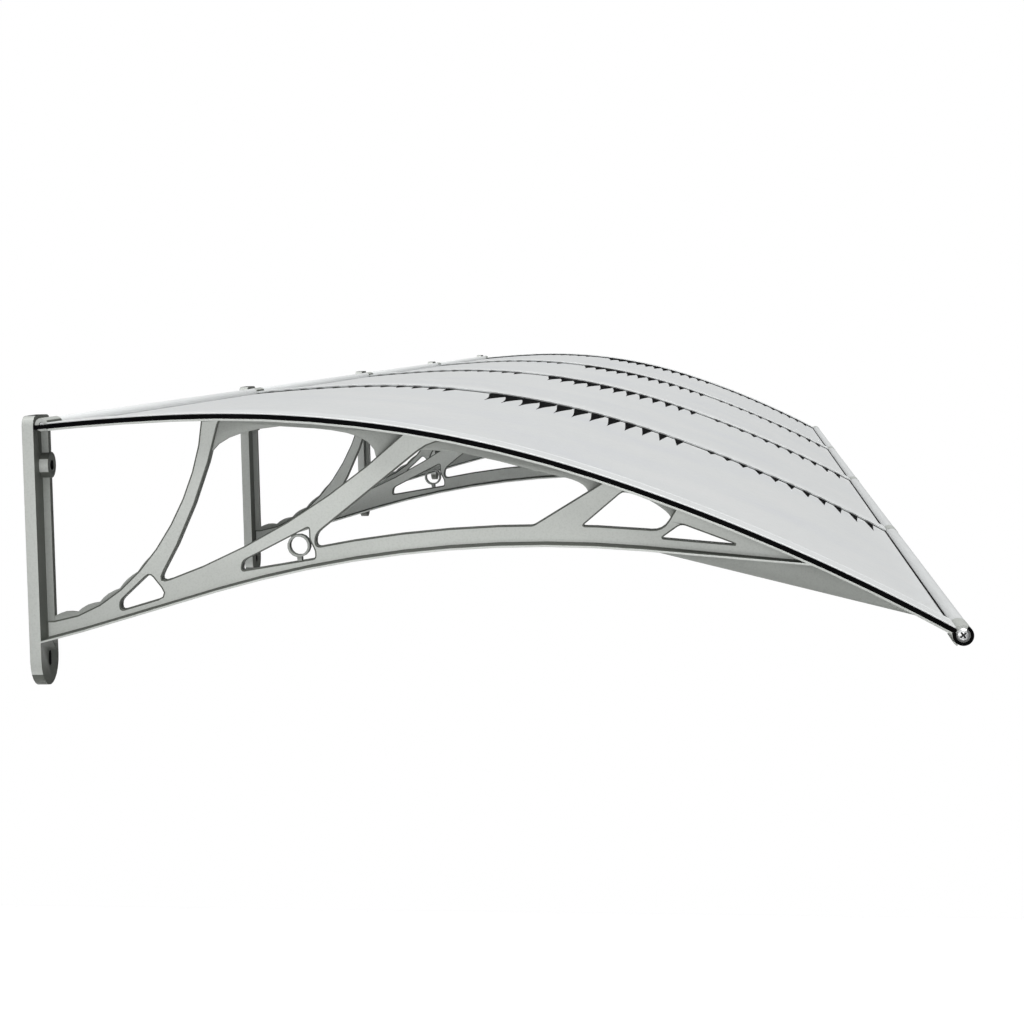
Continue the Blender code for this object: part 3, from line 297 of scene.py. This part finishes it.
# %% Extruded aluminium
def extruded_aluminium(name, stretch, tones):
    """Matt anodised extrusion: even light grey, with die lines 1.5 mm apart, coarser than real ones."""
    material, tree, shader, place = new_finish(name)
    along = add_node(tree, "ShaderNodeMapping", {"Vector": place, "Scale": stretch}).outputs["Vector"]
    lines = add_node(tree, "ShaderNodeTexNoise", {"Vector": along, "Scale": per_metre(1.5),
                                                  "Detail": 2.0}).outputs["Fac"]
    tone = add_node(tree, "ShaderNodeValToRGB", {"Fac": lines}, [(0.25, tones[0]), (0.75, tones[1])])
    tree.links.new(tone.outputs["Color"], shader.inputs["Base Color"])
    patches = add_node(tree, "ShaderNodeTexNoise", {"Vector": place, "Scale": per_metre(60.0),
                                                    "Detail": 3.0}).outputs["Fac"]
    haze = add_node(tree, "ShaderNodeMapRange", {0: patches, 3: 0.44, 4: 0.56}).outputs[0]
    tree.links.new(haze, shader.inputs["Roughness"])
    shader.inputs["Metallic"].default_value = 0.15
    shader.inputs["Specular IOR Level"].default_value = 0.30
    relief = add_node(tree, "ShaderNodeBump", {"Strength": 0.10, "Distance": 0.0002,
                                               "Height": lines}).outputs["Normal"]
    tree.links.new(relief, shader.inputs["Normal"])
    return material


anodised_bar = extruded_aluminium("anodised_aluminium_bar", (1.0, 0.02, 1.0), ("#C6C8C8", "#CED0D0"))
anodised_strip = extruded_aluminium("anodised_aluminium_strip", (0.03, 1.0, 0.03), ("#CDCFCF", "#D5D7D7"))
# The wall bar's copy is paler than the bar's: painted light, a lit copy of the same anodised finish.
anodised_wall_painted_lighter = extruded_aluminium("anodised_aluminium_wall_bar_painted_lighter", (1.0, 0.02, 1.0), ("#D8DADA", "#E0E2E2"))
print("made", anodised_bar.name, anodised_strip.name, anodised_wall_painted_lighter.name)

# %% [markdown]
# The sheets are polycarbonate, extruded and frosted on one side. Light enters and scatters, so
# they look like pale, even ice: no clear reflection, a soft sheen, and a faint cloudiness a hand
# wide. Rain dries on them in small spots, which only change the gloss.

# %% Frosted polycarbonate
def frosted_polycarbonate():
    """Frosted sheet: pale cool grey that lets a little light through, with orange peel 6 mm wide."""
    material, tree, shader, place = new_finish("polycarbonate_frosted")
    cloud = add_node(tree, "ShaderNodeTexNoise", {"Vector": place, "Scale": per_metre(170.0),
                                                  "Detail": 3.0}).outputs["Fac"]
    tone = add_node(tree, "ShaderNodeValToRGB", {"Fac": cloud}, [
        (0.28, "#CCCED0"), (0.50, "#CFD1D1"), (0.74, "#D2D3D3")])
    tree.links.new(tone.outputs["Color"], shader.inputs["Base Color"])
    spots = add_node(tree, "ShaderNodeTexNoise", {"Vector": place, "Scale": per_metre(9.0),
                                                  "Detail": 2.0}).outputs["Fac"]
    gloss = add_node(tree, "ShaderNodeMapRange", {0: spots, 1: 0.35, 2: 0.7, 3: 0.40, 4: 0.50}).outputs[0]
    tree.links.new(gloss, shader.inputs["Roughness"])
    shader.inputs["IOR"].default_value = 1.58
    shader.inputs["Specular IOR Level"].default_value = 0.25
    shader.inputs["Transmission Weight"].default_value = 0.08
    peel = add_node(tree, "ShaderNodeTexNoise", {"Vector": place, "Scale": per_metre(6.0),
                                                 "Detail": 1.0}).outputs["Fac"]
    relief = add_node(tree, "ShaderNodeBump", {"Strength": 0.05, "Distance": 0.0003,
                                               "Height": peel}).outputs["Normal"]
    tree.links.new(relief, shader.inputs["Normal"])
    return material


frosted = frosted_polycarbonate()
print("made", frosted.name)

# %% [markdown]
# The seals are extruded rubber, deep black and matt. A high roughness and a weak reflection keep
# even their lit sides dark, and bloom from the rubber greys the surface slightly in patches.

# %% Black rubber
def black_rubber():
    """Rubber filled with carbon black: near black and matt, with faint grey bloom in 20 mm patches."""
    material, tree, shader, place = new_finish("rubber_extruded_black")
    bloom = add_node(tree, "ShaderNodeTexNoise", {"Vector": place, "Scale": per_metre(20.0),
                                                  "Detail": 4.0}).outputs["Fac"]
    tone = add_node(tree, "ShaderNodeValToRGB", {"Fac": bloom}, [(0.35, "#020203"), (0.75, "#09090A")])
    tree.links.new(tone.outputs["Color"], shader.inputs["Base Color"])
    dull = add_node(tree, "ShaderNodeMapRange", {0: bloom, 3: 0.62, 4: 0.80}).outputs[0]
    tree.links.new(dull, shader.inputs["Roughness"])
    shader.inputs["IOR"].default_value = 1.30
    shader.inputs["Specular IOR Level"].default_value = 0.10
    skin = add_node(tree, "ShaderNodeTexNoise", {"Vector": place, "Scale": per_metre(1.8),
                                                 "Detail": 2.0}).outputs["Fac"]
    relief = add_node(tree, "ShaderNodeBump", {"Strength": 0.15, "Distance": 0.0002,
                                               "Height": skin}).outputs["Normal"]
    tree.links.new(relief, shader.inputs["Normal"])
    return material


rubber = black_rubber()
print("made", rubber.name)

# %% [markdown]
# Screws are zinc-plated steel, bright from the plating and hazed by tumbling in the drum. An
# attribute made with the head's shape darkens the cross to near black: painted shade in the recess.

# %% Zinc-plated steel
def zinc_steel():
    """Bright zinc plate: bluish silver, with faint tumbling marks 1.2 mm wide and painted shade in the cross
    recess.
    """
    material, tree, shader, place = new_finish("steel_zinc_plated")
    marks = add_node(tree, "ShaderNodeTexNoise", {"Vector": place, "Scale": per_metre(1.2),
                                                  "Detail": 3.0}).outputs["Fac"]
    tone = add_node(tree, "ShaderNodeValToRGB", {"Fac": marks}, [(0.3, "#D9DBDC"), (0.7, "#F0F1F1")])
    recess = add_node(tree, "ShaderNodeAttribute", attribute_name="recess").outputs["Fac"]
    # Painted shade: the cross recess is mixed towards near black by its depth.
    shaded_cross = add_node(tree, "ShaderNodeMix", {0: recess, 6: tone.outputs["Color"], 7: linear("#151515")},
                     data_type="RGBA").outputs[2]
    tree.links.new(shaded_cross, shader.inputs["Base Color"])
    shine = add_node(tree, "ShaderNodeMapRange", {0: marks, 3: 0.24, 4: 0.38}).outputs[0]
    tree.links.new(shine, shader.inputs["Roughness"])
    shader.inputs["Metallic"].default_value = 0.55
    return material


zinc = zinc_steel()
print("made", zinc.name)

# %% [markdown]
# The brackets keep the shape of the solid model, which has all their struts, windows and lips.
# The model's mesh is loose triangles, so a copy is merged, flat parts are joined into single
# faces, and curved ones are shaded smooth. Then each face gets a painted light level: those that
# look along the wall and stand 5.5 mm or more off the bracket's middle are painted lit, those nearer
# the middle a half tone of painted shade, and the tops and the nose painted lit. The web's sides are
# inset by 1.5 mm, and that border is painted shade: a thin dark outline round each opening. At a sharp
# corner an inset shoots far out, so there it is held to 1.6 times its width. The walls of the
# bolt holes are painted near black, deep shade.

# %% Brackets
BAYS = np.arange(-2.0, 3.0)
LIT_SIDE_DEPTH = 0.0055        # from a bracket's middle to its sides painted lit, at least
# Width of the painted shade outline round each opening, and how far it may reach at a sharp corner.
SHADE_OUTLINE = 0.0015
SHADE_OUTLINE_LONGEST = 1.6 * SHADE_OUTLINE
# Painted light levels for the faces: lit sides, lit tops and nose, half shade on recessed lips, shade, and
# deep shade in the bolt holes.
PAINTED_LIT, PAINTED_LIT_TOP, PAINTED_HALF_SHADE, PAINTED_SHADE, PAINTED_DEEP_SHADE = 1.0, 0.9, 0.55, 0.15, 0.0


def merged_copy(source, name, middle, angle=30.0):
    """The node's mesh with its doubles merged, flat triangles dissolved and the web's sides inset.

    Returns the object and the numbers of the outline faces, which get painted shade.
    """
    mesh = source.data.copy()
    mesh.name = name
    work = bmesh.new()
    work.from_mesh(mesh)
    bmesh.ops.transform(work, matrix=source.matrix_world, verts=work.verts)
    bmesh.ops.remove_doubles(work, verts=work.verts, dist=2e-6)
    bmesh.ops.dissolve_limit(work, angle_limit=math.radians(0.5), verts=work.verts, edges=work.edges)
    web = [face for face in work.faces
           if abs(face.normal.y) > 0.99
           and LIT_SIDE_DEPTH < abs(face.calc_center_median().y - middle) < LIT_SIDE_DEPTH + 0.001]
    web = bmesh.ops.triangulate(work, faces=web)["faces"]
    # The inset ring of faces is kept for painted shade: a dark outline round each opening.
    shade_outline_faces = bmesh.ops.inset_region(work, faces=web, thickness=SHADE_OUTLINE, use_even_offset=True)["faces"]
    inner = {vert for face in web for vert in face.verts}
    for vert in {vert for face in shade_outline_faces for vert in face.verts} - inner:
        for edge in vert.link_edges:
            moved = edge.other_vert(vert)
            if moved in inner and (moved.co - vert.co).length > SHADE_OUTLINE_LONGEST:
                moved.co = vert.co + SHADE_OUTLINE_LONGEST * (moved.co - vert.co).normalized()
    work.faces.index_update()
    numbers = [face.index for face in shade_outline_faces]
    work.to_mesh(mesh)
    work.free()
    mesh.shade_smooth()
    mesh.set_sharp_from_angle(angle=math.radians(angle))
    obj = bpy.data.objects.new(name, mesh)
    bpy.context.scene.collection.objects.link(obj)
    return obj, numbers


def mark_painted_light(mesh, middle, shade_outline_faces):
    """Writes the face attribute and returns its mean.

    Sides facing along the wall are painted lit, or half shade near the middle; the outline and all else is
    painted shade. The nose and what looks up at the top are painted lit. Walls inside the plate get painted
    deep shade.
    """
    count = len(mesh.polygons)
    normals, centres = np.empty(3 * count), np.empty(3 * count)
    mesh.polygons.foreach_get("normal", normals)
    mesh.polygons.foreach_get("center", centres)
    x, off, z = centres[0::3], np.abs(centres[1::3] - middle), centres[2::3]
    out, along, up = np.abs(normals[0::3]), np.abs(normals[1::3]), normals[2::3]
    # Painted light by facing: sides along the wall are lit when raised and half shade when recessed; all
    # other faces are painted shade.
    values = np.where(along > 0.9, np.where(off > LIT_SIDE_DEPTH, PAINTED_LIT, PAINTED_HALF_SHADE), PAINTED_SHADE)
    values[shade_outline_faces] = PAINTED_SHADE
    values[(x > 0.955) | ((up > 0.5) & (z > 0.125))] = PAINTED_LIT_TOP
    values[(x < 0.0122) & (off < 0.0058) & (out < 0.5)] = PAINTED_DEEP_SHADE
    mesh.attributes.new("painted_light_level", "FLOAT", "FACE").data.foreach_set("value", values.astype(np.float32))
    return float(values.mean())


for number, y in enumerate(BAYS, start=1):
    casting, shade_outline_faces = merged_copy(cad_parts[f"bracket_{number}"], f"casting_{number}", y)
    share = mark_painted_light(casting.data, y, shade_outline_faces)
    casting.data.materials.clear()
    casting.data.materials.append(cast)
    dress(casting, [f"bracket_{number}"])
# The printed finish is the mean painted light level of the last casting.
print("castings", len(BAYS), "with", len(casting.data.polygons), "faces each, finish", round(share, 2))

# %% [markdown]
# A sheet lies between the brackets' flanges and the cover strips, and its two ends run into
# slots in the bars. Its corners are cut out round the bosses, so in a strip along each side the
# sheet starts later: the run of a point depends on its column.

# %% Sheets
HALF_BEAM = 0.029
BOSS_HALF = 0.025
STEM_HALF = 0.003
GAP = 0.0003
SHEET_LOW, SHEET_HIGH = -0.0047, -0.0022
SHEET_EDGE = 0.0004
REAR_TONGUE, REAR_SHOULDER = 0.0033, 0.0078
NOSE_TONGUE, NOSE_SHOULDER = 0.0058, 0.0111


def sheet_grid(y_low, y_high, notch_low, notch_high, rows=120):
    """A closed band of points round the sheet at each row.

    Row t and column y give the run start(y) + t (end(y) - start(y)), where start and end step
    inwards beside the bosses. The top is walked one way and the underside back, with the long
    edges rounded by a point in mid-thickness.
    """
    inner = np.linspace(notch_low, notch_high, 9)
    columns = np.concatenate([[y_low + SHEET_EDGE, notch_low - 1e-5], inner,
                              [notch_high + 1e-5, y_high - SHEET_EDGE]])
    middle = (SHEET_LOW + SHEET_HIGH) / 2.0
    y = np.concatenate([columns, [y_high], columns[::-1], [y_low]])
    lifts = np.concatenate([np.full(len(columns), SHEET_HIGH), [middle],
                            np.full(len(columns), SHEET_LOW), [middle]])
    beside = (y < notch_low) | (y > notch_high)
    t = np.linspace(0.0, 1.0, rows)[:, None]
    start = REAR_RUN + np.where(beside, REAR_SHOULDER, REAR_TONGUE)[None, :]
    end = LENGTH - np.where(beside, NOSE_SHOULDER, NOSE_TONGUE)[None, :]
    x, z, _ = rim(start + t * (end - start), lifts[None, :])
    return np.stack([x, np.broadcast_to(y, x.shape), z], -1)


for number in range(1, len(BAYS)):
    here, there = BAYS[number - 1], BAYS[number]
    low = here + (-BOSS_HALF if number == 1 else STEM_HALF + GAP)
    high = there - (-BOSS_HALF if number == len(BAYS) - 1 else STEM_HALF + GAP)
    points = sheet_grid(low, high, here + BOSS_HALF + 2 * GAP, there - BOSS_HALF - 2 * GAP)
    add_piece(f"roof_sheet_{number}", [(points, True, True)], frosted,
              replaced=[f"sheet_{number}"])
print("sheets", len(BAYS) - 1, "span", round(high - low, 4), "m each")

# %% [markdown]
# A cover strip clamps each joint. It is a thin extrusion with rounded long edges, which catch a
# thin line of light. On the inner joints its outer edge turns down towards the sheet. A shallow
# groove beside its other edge draws a soft grey line along each strip from the side.

# %% Cover strips
STRIP_THICK = 0.0015
GROOVE_DEPTH = 0.0011
GROOVE_HALF = 0.003
GROOVE_MIDDLE = 0.0245
EDGE_DROP = 0.0012           # of the turned edge, at the inner joints
END_DROP = 0.00001           # at the ends of the canopy it hardly turns
STRIP_END = LENGTH - 0.0108
strip_runs = np.linspace(REAR_RUN + 0.0075, STRIP_END, 110)


def strip_section(drop):
    """Rounded rectangle 58 mm wide, whose edge at -Y is 2 mm wide and reaches down by a drop.

    Its top has a groove: lift = 1.5 mm - depth (1 - u squared) where u, the distance from the
    groove's middle over its half width, is under 1.
    """
    outline = rounded(-HALF_BEAM, HALF_BEAM, 0.0, STRIP_THICK, 0.0006)
    across = np.concatenate([np.linspace(0.0275, 0.0215, 9), np.linspace(0.018, -0.027, 7)])
    u = (across - GROOVE_MIDDLE) / GROOVE_HALF
    lift = STRIP_THICK - GROOVE_DEPTH * np.clip(1.0 - u ** 2, 0.0, None)
    top = np.stack([across, lift], -1)
    edge = outline[10:15] - [0.0, drop]
    inside = np.array([[-HALF_BEAM + 0.002, -drop], [-HALF_BEAM + 0.0021, 0.0]])
    return np.concatenate([outline[:5], top, outline[5:10], edge, inside, outline[15:]])


for number, y in enumerate(BAYS, start=1):
    section = strip_section(END_DROP if number in (1, len(BAYS)) else EDGE_DROP) + [y, 0.0]
    add_piece(f"strip_{number}", [(carried(section, strip_runs), True, True)], anodised_strip,
              replaced=[f"cover_strip_{number}"])
print("strips", len(BAYS), "with", len(section), "points round")

# %% [markdown]
# Between two sheets sits a T-shaped rubber seal: a pad under the strip and a stem between the
# sheets' edges. On one side its lip is cut into teeth that lie on the sheet. Over the upper front
# slope they are long, with round arches between them, so that they run together at their roots.
# Elsewhere they are small and stand apart, and twice a short stretch has none.

# %% Joint seals
TOOTH_LENGTH = 0.220         # which the longest tooth reaches to 95 %
TEETH = 40
PITCH = LENGTH / TEETH
FIRST_TOOTH, LAST_TOOTH = 0.027, LENGTH - 0.022
SET_BACK = 0.003             # of the pad from the strip's edges
PAD_LOW, PAD_HIGH = -0.0019, -0.0003


def tooth_length(share):
    """Length of a tooth by its place from wall (0) to nose (1).

    It grows with the power 2.5 in a rear group, follows a parabola in a long middle group, and
    grows evenly in a front group. Between the groups it is 0.
    """
    rear = 0.05 + 0.40 * (share / 0.335) ** 2.5
    crest = 0.95 - 0.45 * ((share - 0.46) / 0.215) ** 2
    front = 0.16 + 0.40 * (share - 0.700) / 0.300
    return TOOTH_LENGTH * np.select([share < 0.335, share < 0.375, share < 0.680, share < 0.700],
                                    [rear, 0.0, crest, 0.0], front)


def teeth_grid(y):
    """All teeth of a seal as closed rings [teeth, rows, 4 corners].

    Along its length v a tooth's half width is a share of the pitch times (1 - w) to a power, where w
    grows from 0 at v = band to 1 at the tip. In the long group the band is up to 0.20, the share 0.5
    and the power 1.7: hollow teeth that run together at their roots. All three fade out along the
    group, and elsewhere the band is 0, the share 0.27 and the power 1.1: small wedges that stand
    apart. The thickness falls from 0.8 to 0.4 mm.
    """
    middle = (np.arange(TEETH) + 0.5) * PITCH
    length = tooth_length(middle / LENGTH)
    keep = (length > 0.0) & (middle > FIRST_TOOTH) & (middle < LAST_TOOTH)
    middle, length = middle[keep], length[keep]
    v = np.linspace(0.0, 1.0, 15)
    share = (middle / LENGTH)[:, None]
    joined = np.clip((0.64 - share) / 0.20, 0.0, 1.0) * (share > 0.355)
    band = 0.20 * joined
    w = np.clip((v[None, :] - band) / (1.0 - band), 0.0, 1.0)
    half = PITCH * (0.004 + (0.27 + 0.22 * joined) * (1.0 - w) ** (1.1 + 0.6 * joined))
    thick = (0.0008 - 0.0004 * v)[None, :, None]
    across = np.array([-1.0, 1.0, 1.0, -1.0])
    upward = np.array([0.0, 0.0, 1.0, 1.0])
    run = middle[:, None, None] + half[:, :, None] * across
    lift = SHEET_HIGH + 0.00005 + thick * upward
    x, z, _ = rim(run, lift)
    root = 0.002 + SET_BACK
    reach = y - HALF_BEAM + root - v[None, :, None] * (length[:, None, None] + root)
    return np.stack([x, np.broadcast_to(reach, x.shape), z], -1)


def pad_section(y_low, y_high):
    """The flat pad that lies between a sheet and the strip."""
    return rounded(y_low, y_high, PAD_LOW, PAD_HIGH, 0.0004, 2)


for number, y in enumerate(BAYS[1:-1], start=2):
    pad = carried(pad_section(-HALF_BEAM + SET_BACK, HALF_BEAM - SET_BACK) + [y, 0.0], strip_runs)
    stem = carried(rounded(-STEM_HALF, STEM_HALF, SHEET_LOW, -0.0015, 0.0003, 2) + [y, 0.0], strip_runs)
    teeth = [(one, True, True) for one in teeth_grid(y)]
    add_piece(f"toothed_seal_{number}", [(pad, True, True), (stem, True, True), *teeth], rubber,
              replaced=[f"joint_seal_{number}"])
print("teeth on each joint seal", len(teeth), "a pitch of", round(PITCH, 4))

# %% [markdown]
# At both ends of the canopy the slot is closed by a rubber wall that runs from the wall plate to
# the nose and hooks round the round boss there. Its outside is moulded with two round ribs, which
# gives two dark lines with a softer shine between them. The far end has the joints' teeth too.

# %% End seals
WALL_INSIDE = 0.0253         # from a bracket's middle
HOOK_INNER, HOOK_OUTER = 0.0072, 0.01048


def ribbed_wall(outside, inside):
    """Section of the wall: its outer face bulges as two half waves, 0.5 mm deep, over its height."""
    v = np.linspace(0.0, 1.0, 17)
    bulge = 0.0005 * (1.0 - np.abs(np.sin(2.0 * np.pi * v)))
    lifts = SHEET_LOW + v * (PAD_HIGH - SHEET_LOW)
    face = np.stack([outside + np.sign(inside - outside) * bulge, lifts], -1)
    back = np.array([[inside, PAD_HIGH], [inside, SHEET_LOW]])
    return np.concatenate([face, back])


def hook_grid(outside, inside):
    """A rounded section turned about the nose, from below the slot round to the roof's surface."""
    a = np.radians(np.linspace(192.0, 448.0, 56)) + nose_heading
    section = rounded(min(outside, inside), max(outside, inside), HOOK_INNER, HOOK_OUTER, 0.0006, 3)
    radius, y = section[None, :, 1], section[None, :, 0]
    x = nose_x + radius * np.cos(a)[:, None]
    z = nose_z + radius * np.sin(a)[:, None]
    return np.stack([x, np.broadcast_to(y, x.shape), z], -1)


wall_runs = np.linspace(0.0003, LENGTH - 0.0080, 110)
for name, y, away in (("near", BAYS[0], -1.0), ("far", BAYS[-1], 1.0)):
    outside, inside = y + away * HALF_BEAM, y + away * WALL_INSIDE
    wall = carried(ribbed_wall(outside, inside), wall_runs)
    pad_edges = sorted((inside + away * 0.0005, y - away * HALF_BEAM))
    pad = carried(pad_section(*pad_edges), strip_runs)
    teeth = teeth_grid(y) if name == "far" else []
    grids = [(grid, True, True) for grid in (wall, hook_grid(outside, inside), pad, *teeth)]
    add_piece(f"closing_seal_{name}", grids, rubber, replaced=[f"end_seal_{name}"])
print("end seals made, wall", round(abs(outside - inside) * 1000, 1), "mm thick")

# %% [markdown]
# Round bars tie the brackets together at the front and at the wall. Each is a tube-like extrusion
# with a slot that takes the edge of the sheet. Its section is a circle cut by the slot. A thin
# black rubber bead lies on the sheet at the front slot: painted shade, a dark cord that draws the shadow line
# between sheet and bar.

# %% Bars
BAR_CHAMFER = 0.0006
BEAD_RADIUS = 0.0009


def bar_section(radius, slot_depth, level, slot_side, heading):
    """Circle open at a slot 3.1 mm high that holds the sheet. Its axis is lifted off the rim by level."""
    low, high = SHEET_LOW - GAP - level, SHEET_HIGH + GAP - level
    a = np.linspace(math.asin(high / radius), 2.0 * np.pi + math.asin(low / radius), 56)
    along = np.concatenate([radius * np.cos(a), [radius - slot_depth] * 2]) * slot_side
    upward = np.concatenate([radius * np.sin(a), [low, high]])
    return (along * math.cos(heading) - upward * math.sin(heading),
            along * math.sin(heading) + upward * math.cos(heading))


def bar_grid(centre, section, y_low, y_high):
    """The section moved straight along Y, with a small chamfer at both ends."""
    x, z = section
    y = np.array([y_low, y_low + BAR_CHAMFER, y_high - BAR_CHAMFER, y_high])[:, None]
    shrink = np.array([0.94, 1.0, 1.0, 0.94])[:, None]
    return np.stack([centre[0] + shrink * x, np.broadcast_to(y, (4, len(x))), centre[1] + shrink * z], -1)


bead_x, bead_z, _ = (float(v) for v in rim(STRIP_END, SHEET_HIGH + 0.0008))
front_section = bar_section(0.0100, 0.0045, -0.0025, -1.0, nose_heading)
rear_section = bar_section(0.0066, 0.0036, 0.0, 1.0, rear_heading)
for number in range(1, len(BAYS)):
    y_low, y_high = BAYS[number - 1] + BOSS_HALF + GAP, BAYS[number] - BOSS_HALF - GAP
    front = bar_grid((nose_x, nose_z), front_section, y_low, y_high)
    rear = bar_grid((rear_x, rear_z), rear_section, y_low, y_high)
    add_piece(f"gutter_bar_{number}", [(front, True, True)], anodised_bar,
              replaced=[f"front_bar_{number}"])
    add_piece(f"wall_bar_{number}", [(rear, True, True)], anodised_wall_painted_lighter,
              replaced=[f"rear_bar_{number}"])
    # Painted shade: a black cord laid where the shadow line between sheet and bar falls.
    bead_y = np.linspace(y_low + 0.001, y_high - 0.001, 3)[:, None]
    a = np.linspace(0.0, 2.0 * np.pi, 13)[None, :-1]
    shadow_bead = np.stack(np.broadcast_arrays(bead_x + BEAD_RADIUS * np.cos(a), bead_y,
                                        bead_z + BEAD_RADIUS * np.sin(a)), -1)
    add_piece(f"shadow_line_bead_{number}", [(shadow_bead, True, True)], rubber)
print("bars", 2 * (len(BAYS) - 1), "each", round(y_high - y_low, 4), "m long")

# %% [markdown]
# A cross-head screw closes each end of the nose. Its head is a low dome, and the cross is pressed
# into it. A height field over rings and spokes gives both at once: the dome's height less the
# depth of the cross.

# %% Screws
HEAD_RADIUS, HEAD_HEIGHT = 0.0066, 0.0032
CROSS_DEPTH = 0.0015
CROSS_TURN = 38.0
SHANK_RADIUS, SHANK_LENGTH = 0.0022, 0.0452


def cross_share(rings, spokes):
    """How deep a point lies in the cross, 0 to 1, with a smooth step at the arms' edges and ends."""
    u, w = rings * np.cos(spokes), rings * np.sin(spokes)
    turned = math.radians(CROSS_TURN)
    arm_a = np.abs(u * math.cos(turned) + w * math.sin(turned))
    arm_b = np.abs(w * math.cos(turned) - u * math.sin(turned))
    narrow, long_way = np.minimum(arm_a, arm_b), np.maximum(arm_a, arm_b)
    return 1.0 / (1.0 + np.exp((narrow - 0.12) / 0.018)) / (1.0 + np.exp((long_way - 0.56) / 0.03))


def screw_head(y_face, away):
    """Head as a disc of rings: height = 3.2 mm (1 - 0.7 r^2.4) less the cross, 1.5 mm deep.

    One more ring, flat on the boss, closes it.
    """
    rings = np.linspace(0.0, 1.0, 30)[1:, None]
    spokes = np.linspace(0.0, 2.0 * np.pi, 73)[None, :-1]
    u, w = rings * np.cos(spokes), rings * np.sin(spokes)
    height = HEAD_HEIGHT * (1.0 - 0.7 * rings ** 2.4) - CROSS_DEPTH * cross_share(rings, spokes)
    x = nose_x + HEAD_RADIUS * u
    z = nose_z + HEAD_RADIUS * w
    y = y_face + away * height
    grid = np.stack([x, y, z], -1)
    skirt = grid[-1:].copy()
    skirt[..., 1] = y_face
    return np.concatenate([grid, skirt])


for name, y, away in (("near", BAYS[0], -1.0), ("far", BAYS[-1], 1.0)):
    face = y + away * (BOSS_HALF + 0.0001)
    head = screw_head(face, away)
    a = np.linspace(0.0, 2.0 * np.pi, 25)[None, :-1]
    shank_y = np.array([face, y - away * SHANK_LENGTH])[:, None]
    shank = np.stack(np.broadcast_arrays(nose_x + SHANK_RADIUS * np.cos(a), shank_y,
                                         nose_z + SHANK_RADIUS * np.sin(a)), -1)
    screw = add_piece(f"cross_screw_{name}", [(head, True, True), (shank, True, True)], zinc,
                      angle=50.0, replaced=[f"nose_screw_{name}"])
    points = np.empty(3 * len(screw.data.vertices))
    screw.data.vertices.foreach_get("co", points)
    u, w = (points[0::3] - nose_x) / HEAD_RADIUS, (points[2::3] - nose_z) / HEAD_RADIUS
    on_head = np.abs(points[1::3] - face) < 0.0040
    deep = np.where(on_head, cross_share(np.hypot(u, w), np.arctan2(w, u)), 0.0).astype(np.float32)
    screw.data.attributes.new("recess", "FLOAT", "POINT").data.foreach_set("value", deep)
for name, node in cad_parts.items():
    if "pin" in name:
        node.data.materials.clear()
        node.data.materials.append(zinc)
print("screw heads", 2 * HEAD_RADIUS, "m wide")

# %% [markdown]
# The studio is plain: a pale floor far below, where a doorstep would be, as one face.

# %% Floor
FLOOR_LEVEL = -2.30
floor_mesh = bpy.data.meshes.new("floor")
corners = np.array([[-2.8, -4.4], [2.8, -4.4], [2.8, 4.8], [-2.8, 4.8]])
floor_mesh.from_pydata([(x, y, FLOOR_LEVEL) for x, y in corners], [], [(0, 1, 2, 3)])
floor = bpy.data.objects.new("floor", floor_mesh)
bpy.context.scene.collection.objects.link(floor)
paper, _, paper_shader, _ = new_finish("studio_floor_paper")
paper_shader.inputs["Base Color"].default_value = linear("#F7F7F7")
paper_shader.inputs["Roughness"].default_value = 0.9
floor_mesh.materials.append(paper)
print("floor at", FLOOR_LEVEL, "m")

# %% [markdown]
# The roof is lit from above by a wide soft sun, tilted so that the rear and the front of the curve
# get the same share. Under the roof it is dim, and a long soft lamp before the near end shows the
# first bracket clearly and the others less and less, because its light thins out with distance. The
# surroundings are brighter on the wall side, so what looks away from the wall stays dark, and the
# floor only reaches as far as the canopy's soft shadow, so it throws little light back up.

# %% Light
def add_light(name, kind, place, towards, strength, **settings):
    """A light at a place whose -Z axis points towards another place."""
    data = bpy.data.lights.new(name, kind)
    data.energy = strength
    for setting, value in settings.items():
        setattr(data, setting, value)
    light = bpy.data.objects.new(name, data)
    d = np.array(towards, dtype=float) - np.array(place, dtype=float)
    d /= np.linalg.norm(d)
    light.rotation_euler = (math.acos(-d[2]), 0.0, math.atan2(-d[0], d[1]))
    light.location = place
    bpy.context.scene.collection.objects.link(light)
    return light


add_light("top_light", "SUN", (0.75, -0.60, 3.0), (0.0, 0.0, 0.0), 4.05, angle=math.radians(50.0))
near_light = add_light("near_light", "AREA", (0.46, -2.85, 0.02), (0.46, -2.0, 0.02), 5.0, shape="RECTANGLE",
                       size=1.30, size_y=0.40)
near_light.visible_camera = False

world = bpy.data.worlds.new("studio")
world.use_nodes = True
bpy.context.scene.world = world
sky = world.node_tree
background = sky.nodes["Background"]
direction = add_node(sky, "ShaderNodeTexCoord").outputs["Generated"]
parts = add_node(sky, "ShaderNodeSeparateXYZ", {"Vector": direction}).outputs
from_side = add_node(sky, "ShaderNodeMapRange", {0: parts["X"], 1: -0.6, 2: 0.9, 3: 0.24, 4: 0.04}).outputs[0]
seen = add_node(sky, "ShaderNodeLightPath").outputs["Is Camera Ray"]
strength = add_node(sky, "ShaderNodeMix", {0: seen, 2: from_side, 3: 1.0}).outputs[0]
sky.links.new(strength, background.inputs["Strength"])
background.inputs["Color"].default_value = linear("#FFFFFF")
bpy.context.scene.view_settings.view_transform = "Standard"
bpy.context.scene.view_settings.look = "None"
